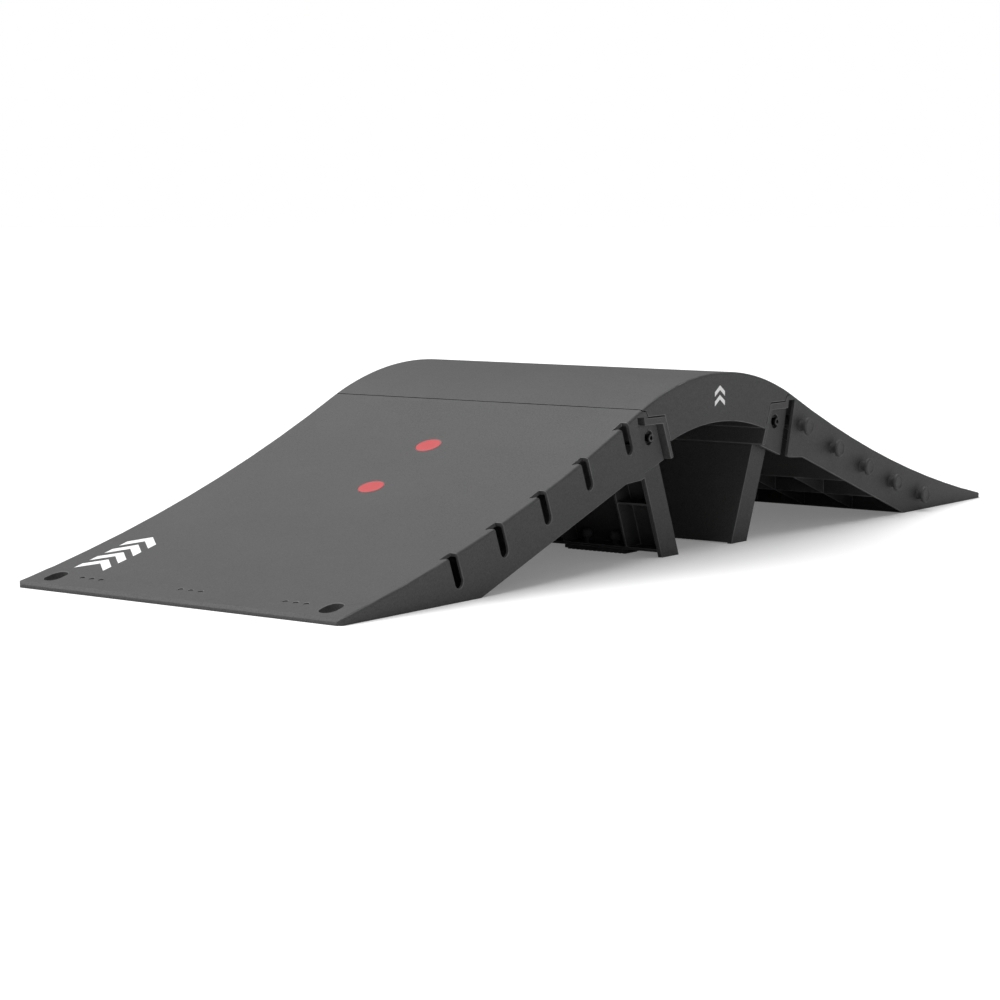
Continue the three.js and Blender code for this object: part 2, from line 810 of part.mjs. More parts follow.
// Hinge hardware, from the outside in: bolt head, sleeve, washer, nut
function hingeStack() {
  const headFace = halfWidth - boltHeadSunk;
  const headSeat = headFace - boltHeadLength;
  const sleeveOut = headSeat - restGap;
  const sleeveIn = legHalf - legFlangeThickness - restGap;
  const washerOut = sleeveIn - restGap;
  const nutOut = washerOut - washerThickness - restGap;
  const tail = nutOut - nutThickness - boltTail;
  return { headFace, headSeat, sleeveOut, sleeveIn, washerOut, nutOut, tail };
}

function hexagon(acrossFlats) {
  const radius = acrossFlats / Math.sqrt(3);
  return Array.from({ length: 6 }, (_, i) => {
    const angle = (Math.PI * i) / 3;
    return [hingeX + radius * Math.cos(angle), hingeZ + radius * Math.sin(angle)];
  });
}

function hingeBolt(side) {
  const { headFace, headSeat, tail } = hingeStack();
  const profile = [
    [0, tail],
    [boltRadius - 0.8, tail],
    [boltRadius, tail + 0.8],
    [boltRadius, headSeat],
    [boltHeadRadius, headSeat],
    [boltHeadRadius, headFace - 0.8],
    [boltHeadRadius - 0.8, headFace],
    [0, headFace],
  ];
  const bottom = headFace - socketDepth;
  const socket = slabAcross(hexagon(socketAcrossFlats), side * (headFace + 1), side * bottom);
  return turned(profile, hingeX, hingeZ, side).subtract(socket);
}

function ring(side, inner, outer, fromY, toY) {
  const profile = [
    [inner, fromY],
    [outer, fromY],
    [outer, toY],
    [inner, toY],
  ];
  return turned(profile, hingeX, hingeZ, side);
}

function hingeSleeve(side) {
  const { sleeveOut, sleeveIn } = hingeStack();
  return ring(side, boltRadius + fitClearance, sleeveRadius, sleeveIn, sleeveOut);
}

function hingeWasher(side) {
  const { washerOut } = hingeStack();
  return ring(side, boltRadius + fitClearance, washerRadius, washerOut - washerThickness, washerOut);
}

function hingeNut(side) {
  const { nutOut } = hingeStack();
  const nutIn = nutOut - nutThickness;
  const blank = slabAcross(hexagon(nutAcrossFlats), side * nutOut, side * nutIn);
  const bore = boltRadius + fitClearance;
  return blank.subtract(rod(hingeX, hingeZ, bore, side * (nutOut + 1), side * (nutIn - 1)));
}

function rampModule(name) {
  const group = new THREE.Group();
  group.add(named(`${name}_deck`, deckMoulding(), moulding));
  group.add(named(`${name}_leg`, legMoulding(), moulding));
  for (const [side, place] of [[-1, "slot_side"], [1, "stud_side"]]) {
    group.add(named(`${name}_hinge_bolt_${place}`, hingeBolt(side), steel));
    group.add(named(`${name}_hinge_sleeve_${place}`, hingeSleeve(side), rubber));
    group.add(named(`${name}_hinge_washer_${place}`, hingeWasher(side), steel));
    group.add(named(`${name}_hinge_nut_${place}`, hingeNut(side), steel));
  }
  toePadPlaces().forEach((y, i) => group.add(named(`${name}_toe_pad_${i + 1}`, toePad(y), rubber)));
  footPlaces().forEach((y, i) => group.add(named(`${name}_foot_pad_${i + 1}`, footPad(y), rubber)));
  markerFromSeam.forEach((distance, i) => {
    const x = -(seamDistance + distance);
    const disc = deckDisc(x, markerRadius, -markerProud, markerThickness - markerProud);
    group.add(named(`${name}_marker_${i + 1}`, disc, redMarker));
  });
  linkIndices().forEach((index) => {
    group.add(named(`${name}_link_stud_${index + 1}`, linkStud(index), moulding));
  });
  return group;
}

// Side view of one end of the bridge, from the seam down its step to below the walls
function bridgeEndOutline(gap) {
  const shelfEnd = -seamDistance + shelfLength;
  const ledgeStart = shelfEnd + riserRun;
  const lowZ = seamHeight - noseDrop - bridgeWallDepth;
  return [
    [-seamDistance + gap, shelfZ + gap],
    [shelfEnd + gap, shelfZ + gap],
    [ledgeStart + gap, ledgeZ + gap],
    [noseFaceX(ledgeZ + gap) + gap, ledgeZ + gap],
    [noseFaceX(lowZ) + gap, lowZ],
  ];
}

function mirrored(points) {
  return points.map(([x, z]) => [-x, z]).reverse();
}

function bridgeMoulding() {
  const seamSide = bridgeEndOutline(seamGap);
  const sides = slabAcross(
    [
      [-seamDistance + seamGap, reach],
      ...seamSide,
      ...mirrored(seamSide),
      [seamDistance - seamGap, reach],
    ],
    -halfWidth,
    halfWidth,
  );
  const spread = seamDistance + 2 * shelfLength;
  const crown = crownedSlab(
    [...bridgeArc(-spread, spread), [spread, -reach], [-spread, -reach]],
    rampWidth,
    edgeRadius,
  );
  const span = seamDistance;
  const archway = slabAcross(
    [...bridgeArc(-span, span, bridgeWallDepth), [span, -reach], [-span, -reach]],
    -halfWidth - 1,
    halfWidth + 1,
  );
  const ledgeTop = ledgeZ + seamGap + wallThickness;
  const inner = [
    [-seamDistance + shelfLength + riserRun + 2 * wallThickness, ledgeTop],
    [noseFaceX(ledgeTop) + seamGap + wallThickness, ledgeTop],
    [noseFaceX(0) + seamGap + wallThickness, 0],
  ];
  const plateEndX = inner[0][0];
  const hollow = slabAcross(
    [
      ...bridgeArc(plateEndX, -plateEndX, plateThickness),
      ...mirrored(inner).reverse(),
      ...inner.reverse(),
    ],
    -innerHalf,
    innerHalf,
  );
  const ribZone = slabAcross(
    [
      ...bridgeArc(-span, span, plateThickness - 1),
      ...bridgeArc(span, -span, bridgeWallDepth - bridgeRibRecess),
    ],
    -innerHalf - 1,
    innerHalf + 1,
  );
  const ribs = ribOffsets(bridgeRibPitch, deckRibsEachSide).map((y) =>
    box([-span, y - ribThickness / 2, 0], [span, y + ribThickness / 2, reach]),
  );
  for (const x of ribOffsets(bridgeCrossRibPitch, bridgeCrossRibsEachSide)) {
    ribs.push(box([x - ribThickness / 2, -innerHalf - 1, 0], [x + ribThickness / 2, innerHalf + 1, reach]));
  }
  const cells = hollow.subtract(join(ribs).intersect(ribZone));
  const restPads = [-1, 1].flatMap((end) =>
    ribOffsets(2 * bridgeRibPitch, 1).map((y) => {
      const middle = end * (seamDistance - shelfLength - riserRun - ledgeLength / 2);
      return box(
        [middle - bridgeRestPadLength / 2, y - bridgeRestPadWidth / 2, ledgeZ + restGap],
        [middle + bridgeRestPadLength / 2, y + bridgeRestPadWidth / 2, ledgeTop - 1],
      );
    }),
  );
  return cutAway(sides.intersect(crown), [archway, cells]).add(join(restPads));
}

const ramp = new THREE.Group();
ramp.add(rampModule("left"));
const right = rampModule("right");
right.rotation.z = Math.PI;
ramp.add(right);
ramp.add(named("bridge_deck", bridgeMoulding(), moulding));

export default ramp;
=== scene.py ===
import json
import math

import bmesh
import bpy
import numpy as np
from mathutils import Matrix, Vector

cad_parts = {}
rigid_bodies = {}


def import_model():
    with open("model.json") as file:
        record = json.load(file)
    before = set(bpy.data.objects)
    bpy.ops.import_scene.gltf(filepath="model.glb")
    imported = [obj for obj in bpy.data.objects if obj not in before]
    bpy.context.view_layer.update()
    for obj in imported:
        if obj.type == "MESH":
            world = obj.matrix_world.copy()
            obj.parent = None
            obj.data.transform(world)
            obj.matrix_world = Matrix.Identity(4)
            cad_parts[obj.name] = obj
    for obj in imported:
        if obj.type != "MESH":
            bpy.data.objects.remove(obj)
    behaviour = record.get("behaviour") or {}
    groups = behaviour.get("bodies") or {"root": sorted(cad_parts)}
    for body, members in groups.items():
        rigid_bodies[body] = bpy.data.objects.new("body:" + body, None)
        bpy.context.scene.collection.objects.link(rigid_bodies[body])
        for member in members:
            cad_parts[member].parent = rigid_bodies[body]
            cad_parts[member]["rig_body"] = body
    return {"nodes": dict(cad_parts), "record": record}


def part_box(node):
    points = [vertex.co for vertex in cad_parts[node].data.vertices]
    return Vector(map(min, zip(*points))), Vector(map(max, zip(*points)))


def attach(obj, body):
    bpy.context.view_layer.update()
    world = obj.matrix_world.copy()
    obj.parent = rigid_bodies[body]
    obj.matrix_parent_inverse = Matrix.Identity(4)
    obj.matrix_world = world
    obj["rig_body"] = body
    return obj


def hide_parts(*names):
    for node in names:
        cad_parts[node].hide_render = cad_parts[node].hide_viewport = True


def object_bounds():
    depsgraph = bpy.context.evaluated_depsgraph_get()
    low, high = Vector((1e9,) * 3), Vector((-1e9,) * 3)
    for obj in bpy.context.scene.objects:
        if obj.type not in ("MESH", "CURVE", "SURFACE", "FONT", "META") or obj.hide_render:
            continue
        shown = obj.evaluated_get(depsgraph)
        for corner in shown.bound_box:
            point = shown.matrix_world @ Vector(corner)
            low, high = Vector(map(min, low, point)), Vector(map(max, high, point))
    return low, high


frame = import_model()
cadLow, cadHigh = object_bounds()
mm = 0.001


# small helpers for node trees
def addNode(tree, kind, wires=None, **settings):
    node = tree.nodes.new(kind)
    for name, value in settings.items():
        setattr(node, name, value)
    for socket, value in (wires or {}).items():
        if isinstance(value, bpy.types.NodeSocket):
            tree.links.new(value, node.inputs[socket])
        else:
            node.inputs[socket].default_value = value
    return node


def mathNode(tree, operation, *values):
    node = addNode(tree, "ShaderNodeMath", dict(enumerate(values)), operation=operation)
    return node.outputs[0]


def newGroup(name, kind, inputs, outputs):
    tree = bpy.data.node_groups.new(name, kind)
    for label, socketKind, value in inputs:
        socket = tree.interface.new_socket(label, in_out="INPUT", socket_type=socketKind)
        if value is not None:
            socket.default_value = value
    for label, socketKind in outputs:
        tree.interface.new_socket(label, in_out="OUTPUT", socket_type=socketKind)
    taken = tree.nodes.new("NodeGroupInput").outputs
    given = tree.nodes.new("NodeGroupOutput").inputs
    return tree, taken, given


# effects that several finishes share
def makeGrainGroup():
    # the fine spark-eroded texture of a moulding: pebbles in the surface, and slow changes of tone
    inputs = [("Grain Size", "NodeSocketFloat", 0.0012), ("Patch Size", "NodeSocketFloat", 0.12)]
    outputs = [("Height", "NodeSocketFloat"), ("Speckle", "NodeSocketFloat"), ("Mottle", "NodeSocketFloat")]
    tree, taken, given = newGroup("mouldGrain", "ShaderNodeTree", inputs, outputs)
    place = addNode(tree, "ShaderNodeTexCoord").outputs["Object"]
    grainScale = mathNode(tree, "DIVIDE", 1.0, taken["Grain Size"])
    patchScale = mathNode(tree, "DIVIDE", 1.0, taken["Patch Size"])
    fine = addNode(
        tree, "ShaderNodeTexNoise", {"Vector": place, "Scale": grainScale, "Detail": 3.0, "Roughness": 0.6}
    ).outputs[0]
    pebble = addNode(
        tree,
        "ShaderNodeTexVoronoi",
        {"Vector": place, "Scale": grainScale, "Smoothness": 0.4},
        feature="SMOOTH_F1",
    ).outputs["Distance"]
    slow = addNode(
        tree, "ShaderNodeTexNoise", {"Vector": place, "Scale": patchScale, "Detail": 4.0, "Roughness": 0.55}
    ).outputs[0]
    height = mathNode(tree, "MULTIPLY_ADD", pebble, 0.6, mathNode(tree, "MULTIPLY", fine, 0.7))
    tree.links.new(height, given["Height"])
    tree.links.new(fine, given["Speckle"])
    tree.links.new(slow, given["Mottle"])
    return tree


def makeEdgeHighlightAndWearGroup():
    # rounded edges painted lighter: a painted highlight along them, and wear that hands and floors have
    # polished, broken up so that no edge is lit or worn all along
    inputs = [("Amount", "NodeSocketFloat", 0.5), ("Patch Size", "NodeSocketFloat", 0.05)]
    tree, taken, given = newGroup("edgePolish", "ShaderNodeTree", inputs, [("Mask", "NodeSocketFloat")])
    place = addNode(tree, "ShaderNodeTexCoord").outputs["Object"]
    edge = addNode(tree, "ShaderNodeAttribute", attribute_name="roundedEdge").outputs["Fac"]
    scale = mathNode(tree, "DIVIDE", 1.0, taken["Patch Size"])
    patches = addNode(
        tree, "ShaderNodeTexNoise", {"Vector": place, "Scale": scale, "Detail": 5.0}
    ).outputs[0]
    broken = addNode(
        tree, "ShaderNodeMapRange", {"Value": patches, "From Min": 0.30, "From Max": 0.62, "To Min": 0.35}
    ).outputs[0]
    litAndWorn = mathNode(tree, "MULTIPLY", edge, broken)
    tree.links.new(mathNode(tree, "MULTIPLY", litAndWorn, taken["Amount"]), given["Mask"])
    return tree


def makeDustGroup():
    # pale dust that settles where the surface faces up
    inputs = [("Amount", "NodeSocketFloat", 0.3), ("Patch Size", "NodeSocketFloat", 0.2)]
    tree, taken, given = newGroup("settledDust", "ShaderNodeTree", inputs, [("Mask", "NodeSocketFloat")])
    coordinates = addNode(tree, "ShaderNodeTexCoord").outputs
    up = addNode(tree, "ShaderNodeSeparateXYZ", {0: coordinates["Normal"]}).outputs["Z"]
    facing = addNode(
        tree, "ShaderNodeMapRange", {"Value": up, "From Min": 0.55, "From Max": 0.98}
    ).outputs[0]
    scale = mathNode(tree, "DIVIDE", 1.0, taken["Patch Size"])
    clouds = addNode(
        tree,
        "ShaderNodeTexNoise",
        {"Vector": coordinates["Object"], "Scale": scale, "Detail": 8.0, "Roughness": 0.7},
    ).outputs[0]
    patches = addNode(
        tree, "ShaderNodeMapRange", {"Value": clouds, "From Min": 0.42, "From Max": 0.75}
    ).outputs[0]
    settled = mathNode(tree, "MULTIPLY", facing, patches)
    tree.links.new(mathNode(tree, "MULTIPLY", settled, taken["Amount"]), given["Mask"])
    return tree


grainGroup = makeGrainGroup()
edgeHighlightAndWearGroup = makeEdgeHighlightAndWearGroup()
dustGroup = makeDustGroup()


def useGroup(tree, group, wires):
    node = addNode(tree, "ShaderNodeGroup", node_tree=group)
    for socket, value in wires.items():
        node.inputs[socket].default_value = value
    return node.outputs


def mixColour(tree, share, first, second):
    node = addNode(tree, "ShaderNodeMix", {"Factor": share}, data_type="RGBA")
    for socket, value in ((node.inputs[6], first), (node.inputs[7], second)):
        if isinstance(value, bpy.types.NodeSocket):
            tree.links.new(value, socket)
        else:
            socket.default_value = (*value, 1.0)
    return node.outputs[2]


# finishes
# near black painted shade for the faces inside the seam across the ride, where shade falls between deck and
# bridge
seamShadeTone = (0.004, 0.004, 0.004)
finishes = {
    "mouldedPlastic": {
        "dark": (0.042, 0.042, 0.0422),
        "light": (0.074, 0.074, 0.0745),
        # edge: colour of the rounded edges, a painted highlight along them and partly wear
        "edge": (0.21, 0.21, 0.211),
        "dust": (0.20, 0.195, 0.19),
        "roughness": (0.60, 0.68),
        "specular": 0.36,
        "grainSize": 0.0022,
        "grainDepth": 0.00014,
        "grainStrength": 0.40,
        "edgeHighlightAndWearAmount": 0.60,
        "dustAmount": 0.05,
    },
    "blackRubber": {
        "dark": (0.050, 0.049, 0.054),
        "light": (0.074, 0.072, 0.080),
        "edge": (0.10, 0.10, 0.10),
        "dust": (0.16, 0.155, 0.15),
        "roughness": (0.62, 0.76),
        "specular": 0.35,
        "grainSize": 0.0007,
        "grainDepth": 0.00006,
        "grainStrength": 0.35,
        "edgeHighlightAndWearAmount": 0.3,
        "dustAmount": 0.12,
    },
    "blackNylon": {
        "dark": (0.010, 0.010, 0.010),
        "light": (0.018, 0.018, 0.018),
        "edge": (0.05, 0.05, 0.05),
        "dust": (0.10, 0.10, 0.10),
        "roughness": (0.38, 0.50),
        "specular": 0.5,
        "grainSize": 0.0005,
        "grainDepth": 0.00003,
        "grainStrength": 0.2,
        "edgeHighlightAndWearAmount": 0.2,
        "dustAmount": 0.05,
    },
    "redSatin": {
        "dark": (0.44, 0.030, 0.036),
        "light": (0.50, 0.042, 0.048),
        "edge": (0.64, 0.12, 0.13),
        "dust": (0.55, 0.28, 0.27),
        "roughness": (0.42, 0.55),
        "specular": 0.4,
        "grainSize": 0.0016,
        "grainDepth": 0.00003,
        "grainStrength": 0.2,
        "edgeHighlightAndWearAmount": 0.4,
        "dustAmount": 0.10,
    },
    "whitePrint": {
        "dark": (0.84, 0.84, 0.84),
        "light": (0.92, 0.92, 0.92),
        "edge": (0.95, 0.95, 0.95),
        "dust": (0.74, 0.73, 0.71),
        "roughness": (0.45, 0.58),
        "specular": 0.4,
        "grainSize": 0.0013,
        "grainDepth": 0.00005,
        "grainStrength": 0.25,
        "edgeHighlightAndWearAmount": 0.3,
        "dustAmount": 0.10,
    },
}


def makeFinish(name):
    look = finishes[name]
    material = bpy.data.materials.new(name)
    material.use_nodes = True
    tree = material.node_tree
    shader = tree.nodes["Principled BSDF"]
    grain = useGroup(tree, grainGroup, {"Grain Size": look["grainSize"]})
    edgeLitAndWorn = useGroup(tree, edgeHighlightAndWearGroup, {"Amount": look["edgeHighlightAndWearAmount"]})["Mask"]
    dusty = useGroup(tree, dustGroup, {"Amount": look["dustAmount"]})["Mask"]
    slow = mathNode(tree, "MULTIPLY", grain["Mottle"], 0.18)
    blend = mathNode(tree, "MULTIPLY_ADD", grain["Speckle"], 0.82, slow)
    spread = addNode(
        tree, "ShaderNodeMapRange", {"Value": blend, "From Min": 0.32, "From Max": 0.68}
    ).outputs[0]
    grime = addNode(tree, "ShaderNodeAttribute", attribute_name="grime").outputs["Fac"]
    clean = mixColour(tree, spread, look["dark"], look["light"])
    # painted shade: faces inside the seam are mixed towards near black
    body = mixColour(tree, grime, clean, seamShadeTone)
    # rounded edges mixed towards the lighter edge colour: a painted highlight, partly wear
    withEdgeLightAndWear = mixColour(tree, edgeLitAndWorn, body, look["edge"])
    tree.links.new(mixColour(tree, dusty, withEdgeLightAndWear, look["dust"]), shader.inputs["Base Color"])
    smooth, rough = look["roughness"]
    matte = addNode(
        tree,
        "ShaderNodeMapRange",
        {"Value": grain["Mottle"], "From Min": 0.3, "From Max": 0.7, "To Min": smooth, "To Max": rough},
    ).outputs[0]
    tree.links.new(mathNode(tree, "MULTIPLY_ADD", edgeLitAndWorn, -0.15, matte), shader.inputs["Roughness"])
    shader.inputs["Specular IOR Level"].default_value = look["specular"]
    bump = addNode(
        tree,
        "ShaderNodeBump",
        {"Height": grain["Height"], "Strength": look["grainStrength"], "Distance": look["grainDepth"]},
    )
    tree.links.new(bump.outputs[0], shader.inputs["Normal"])
    return material


steelLook = {
    "dark": (0.035, 0.035, 0.037),
    "light": (0.085, 0.085, 0.088),
    "edge": (0.4, 0.4, 0.4),
    "roughness": (0.26, 0.42),
    "grainSize": 0.0009,
    "grainDepth": 0.00003,
    "grainStrength": 0.15,
    "cloudSize": 0.006,
    "edgeHighlightAndWearAmount": 0.5,
    "edgePatch": 0.004,
}


def makeSteel():
    # zinc plating that has dulled: cloudy tone, uneven polish
    look = steelLook
    material = bpy.data.materials.new("dulledZinc")
    material.use_nodes = True
    tree = material.node_tree
    shader = tree.nodes["Principled BSDF"]
    grain = useGroup(tree, grainGroup, {"Grain Size": look["grainSize"], "Patch Size": look["cloudSize"]})
    edgeLitAndWorn = useGroup(tree, edgeHighlightAndWearGroup, {"Amount": look["edgeHighlightAndWearAmount"], "Patch Size": look["edgePatch"]})
    clouds = mixColour(tree, grain["Mottle"], look["dark"], look["light"])
    tree.links.new(mixColour(tree, edgeLitAndWorn["Mask"], clouds, look["edge"]), shader.inputs["Base Color"])
    smooth, rough = look["roughness"]
    matte = addNode(
        tree, "ShaderNodeMapRange", {"Value": grain["Speckle"], "To Min": smooth, "To Max": rough}
    ).outputs[0]
    tree.links.new(matte, shader.inputs["Roughness"])
    shader.inputs["Metallic"].default_value = 1.0
    bump = addNode(
        tree,
        "ShaderNodeBump",
        {"Height": grain["Height"], "Strength": look["grainStrength"], "Distance": look["grainDepth"]},
    )
    tree.links.new(bump.outputs[0], shader.inputs["Normal"])
    return material


mouldedPlastic = makeFinish("mouldedPlastic")
blackRubber = makeFinish("blackRubber")
blackNylon = makeFinish("blackNylon")
redSatin = makeFinish("redSatin")
whitePrint = makeFinish("whitePrint")
dulledZinc = makeSteel()
print("finishes made:", len(bpy.data.materials), "materials,", len(bpy.data.node_groups), "shared effects")


# the mouldings: decks, bridge and legs
def camelName(node):
    first, *others = node.split("_")
    return first + "".join(word.capitalize() for word in others)


def addPiece(name, mesh, material, body, nodes):
    mesh.materials.clear()
    mesh.materials.append(material)
    piece = bpy.data.objects.new(name, mesh)
    bpy.context.scene.collection.objects.link(piece)
    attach(piece, body)
    if nodes:
        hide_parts(*nodes)
    return piece


def bodyOf(node):
    bodies = frame["record"]["behaviour"]["bodies"]
    return next(body for body, nodes in bodies.items() if node in nodes)


def fitCircle(points):
    known = np.array([(p.x, p.z) for p in points])
    system = np.column_stack((2 * known, np.ones(len(known))))
    middleX, middleZ, rest = np.linalg.lstsq(system, (known**2).sum(1), rcond=None)[0]
    return middleX, middleZ, math.sqrt(rest + middleX**2 + middleZ**2)


def rideCreases(bm, settings):
    # long creases across the ride, where one flat facet of the CAD surface meets the next
    creases = []
    for edge in bm.edges:
        first, second = (v.co for v in edge.verts)
        facesUp = all(face.normal.z > settings["creaseUp"] for face in edge.link_faces)
        if facesUp and abs(first.y - second.y) > settings["creaseSpan"]:
            creases.append(first.copy())
    return creases


def trueCurve(bm, settings):
    # cut the curved bands into short strips and put them on their true arcs, to roll without facets
    middleX, middleZ, radius = fitCircle(rideCreases(bm, settings))
    hollow = 1 if middleZ > 0.5 else -1  # the decks curve around a point above them

    def depthOf(v):
        return (math.hypot(v.co.x - middleX, v.co.z - middleZ) - radius) * hollow

    def isCurved(face):
        depths = [depthOf(v) for v in face.verts]
        inBand = any(low < min(depths) and max(depths) < high for low, high in settings["bands"])
        return inBand and abs(face.normal.z) > settings["curveUp"]

    ends = [min(v.co.x for v in bm.verts), max(v.co.x for v in bm.verts)]
    start = max(ends, key=abs) if settings["fromToe"] else 0
    strip = settings["strip"]
    first = math.ceil((ends[0] - start) / strip + 0.1)
    last = math.floor((ends[1] - start) / strip - 0.1)
    for step in range(first, last + 1):
        x = start + step * strip
        crossed = []
        for face in bm.faces:
            places = [v.co.x for v in face.verts]
            if min(places) < x < max(places):
                crossed.append(face)
        faces = [face for face in crossed if isCurved(face)]
        around = [*{v for f in faces for v in f.verts}, *{e for f in faces for e in f.edges}, *faces]
        reach = settings["cutReach"]
        bmesh.ops.bisect_plane(bm, geom=around, dist=reach, plane_co=(x, 0, 0), plane_no=(1, 0, 0))
    for v in bm.verts:
        arm = Vector((v.co.x - middleX, v.co.z - middleZ))
        near = min(settings["depths"], key=lambda value: abs(value - depthOf(v)))
        if abs(near - depthOf(v)) < settings["snap"]:
            arm *= (radius + near * hollow) / arm.length
            v.co.x, v.co.z = middleX + arm.x, middleZ + arm.y


def isSeamLip(edge, settings):
    # the bridge's lips at the joint across the ride stay crisp
    first, second = (v.co for v in edge.verts)
    across = abs(first.y - second.y) > 0.9 * (first - second).length
    near = abs(abs(first.x) - settings["seam"]) < settings["seamReach"]
    return across and near and first.z > settings["seamAbove"]


def foldedSpots(mesh, settings):
    # places where a rounded corner has turned part of a face over
    mesh.calc_loop_triangles()
    spots = []
    for triangle in mesh.loop_triangles:
        facing = triangle.normal.dot(mesh.polygons[triangle.polygon_index].normal)
        if facing < settings["foldLimit"] and triangle.area > settings["foldArea"]:
            corners = [mesh.vertices[i].co for i in triangle.vertices]
            spots += [tuple(corner) for corner in corners]
    return np.array(spots).reshape(-1, 3)


def easeFolds(draft, spots, settings):
    # narrow the corners that pass close to a folded place
    places = np.zeros(3 * len(draft.vertices))
    draft.vertices.foreach_get("co", places)
    ends = np.zeros(2 * len(draft.edges), np.int32)
    draft.edges.foreach_get("vertices", ends)
    pairs = places.reshape(-1, 3)[ends.reshape(-1, 2)]
    weights = draft.attributes["bevel_weight_edge"].data
    changed = 0
    for i, (start, end) in enumerate(pairs):
        if weights[i].value == 0:
            continue
        along = end - start
        share = np.clip((spots - start) @ along / max(along @ along, 1e-12), 0, 1)
        gap = np.linalg.norm(spots - start - share[:, None] * along, axis=1).min()
        if gap < settings["foldReach"]:
            weights[i].value *= settings["foldEase"]
            changed += 1
    return changed


def weighEdges(bm, settings):
    # every corner gets a small radius, smaller where its neighbours leave little room
    layer = bm.edges.layers.float.new("bevel_weight_edge")
    for edge in bm.edges:
        if not edge.is_manifold or edge.calc_face_angle() < settings["corner"]:
            continue
        if max(v.co.z for v in edge.verts) > settings["floorBand"]:  # edges on the floor stay crisp
            room = min(other.calc_length() for v in edge.verts for other in v.link_edges)
            widest = settings["lipShare"] if isSeamLip(edge, settings) else 1.0
            edge[layer] = min(widest, settings["roomShare"] * room / settings["edgeRadius"])


def evaluatedMesh(holder):
    bpy.context.view_layer.update()
    ready = holder.evaluated_get(bpy.context.evaluated_depsgraph_get())
    return bpy.data.meshes.new_from_object(ready)


def bevelWithoutFolds(holder, draft, settings):
    bevel = holder.modifiers.new("edges", "BEVEL")
    bevel.limit_method = "WEIGHT"
    bevel.width = settings["edgeRadius"]
    bevel.segments = settings["segments"]
    bevel.use_clamp_overlap = False
    bevel.material = 1
    for tries in range(settings["foldPasses"] + 1):
        rounded = evaluatedMesh(holder)
        spots = foldedSpots(rounded, settings)
        if not len(spots) or tries == settings["foldPasses"]:
            break
        print("   folded corners:", len(spots), "narrowed:", easeFolds(draft, spots, settings))
        bpy.data.meshes.remove(rounded)
        draft.update()
        holder.update_tag()
    holder.modifiers.remove(bevel)
    return rounded


def crispFloorEdges(mesh, settings):
    bm = bmesh.new()
    bm.from_mesh(mesh)
    for edge in bm.edges:
        if edge.is_manifold and edge.calc_face_angle() > settings["corner"]:
            edge.smooth = max(v.co.z for v in edge.verts) > settings["floorBand"]
    bm.to_mesh(mesh)
    bm.free()


def markFaces(mesh, settings):
    # attributes for the finishes: painted shade on the faces inside the seam, and the rounded edges, which
    # get a painted highlight and wear
    seamShaded = []
    for face in mesh.polygons:
        near = abs(abs(face.center.x) - settings["seam"]) < settings["seamShadeReach"]
        seamShaded.append(near and face.center.z > settings["seamAbove"] and abs(face.normal.x) > 0.9)
    isEdge = np.zeros(len(mesh.polygons), np.int32)
    mesh.polygons.foreach_get("material_index", isEdge)
    for label, values in (("grime", seamShaded), ("roundedEdge", isEdge)):
        layer = mesh.attributes.new(label, "FLOAT", "FACE")
        layer.data.foreach_set("value", np.array(values, np.float32))
    mesh.polygons.foreach_set("material_index", np.zeros(len(isEdge), np.int32))


def roundEdges(bm, name, settings):
    weighEdges(bm, settings)
    draft = bpy.data.meshes.new(name + "Draft")
    bm.to_mesh(draft)
    bm.free()
    draft.materials.append(mouldedPlastic)
    draft.materials.append(blackRubber)  # the second place only marks the new edge faces
    draft.shade_smooth()
    holder = bpy.data.objects.new(name + "Draft", draft)
    bpy.context.scene.collection.objects.link(holder)
    rounded = bevelWithoutFolds(holder, draft, settings)
    crispFloorEdges(rounded, settings)
    holder.data = rounded
    even = holder.modifiers.new("normals", "WEIGHTED_NORMAL")
    even.mode = "FACE_AREA"
    even.weight = 80
    even.keep_sharp = True
    mesh = evaluatedMesh(holder)
    mesh.name = name
    bpy.data.objects.remove(holder)
    bpy.data.meshes.remove(draft)
    bpy.data.meshes.remove(rounded)
    markFaces(mesh, settings)
    return mesh


crownRadius = 4 * mm
crownDepths = (0, crownRadius * (1 - math.sqrt(0.5)), crownRadius)
mouldings = {
    "merge": 0.03 * mm,
    "creaseSpan": 500 * mm,
    "creaseUp": 0.8,
    "curveUp": 0.3,
    "cutReach": 0.02 * mm,
    "flat": math.radians(0.1),
    "sliver": 0.03 * mm,
    "corner": math.radians(50),
    "roomShare": 0.42,
    "floorBand": 0.3 * mm,
    "foldLimit": 0.7,
    "foldArea": 0.02 * mm**2,
    "foldReach": 2.5 * mm,
    "foldEase": 0.35,
    "foldPasses": 5,
    "seamShadeReach": 2.5 * mm,
    "edgeRadius": 1.1 * mm,
    "segments": 3,
    "snap": 0.35 * mm,
    "seam": 222.4 * mm,
    "seamReach": 0.6 * mm,
    "seamAbove": 225 * mm,
    "lipShare": 0.25,
    "deck": {
        "strip": 14.32 * mm,
        "fromToe": True,
        "depths": crownDepths,
        "bands": [(-0.5 * mm, 4.5 * mm)],
    },
    "bridge": {
        "strip": 8 * mm,
        "fromToe": False,
        "depths": (*crownDepths, 78 * mm),
        "bands": [(-0.5 * mm, 4.5 * mm), (77.5 * mm, 78.5 * mm)],
    },
}


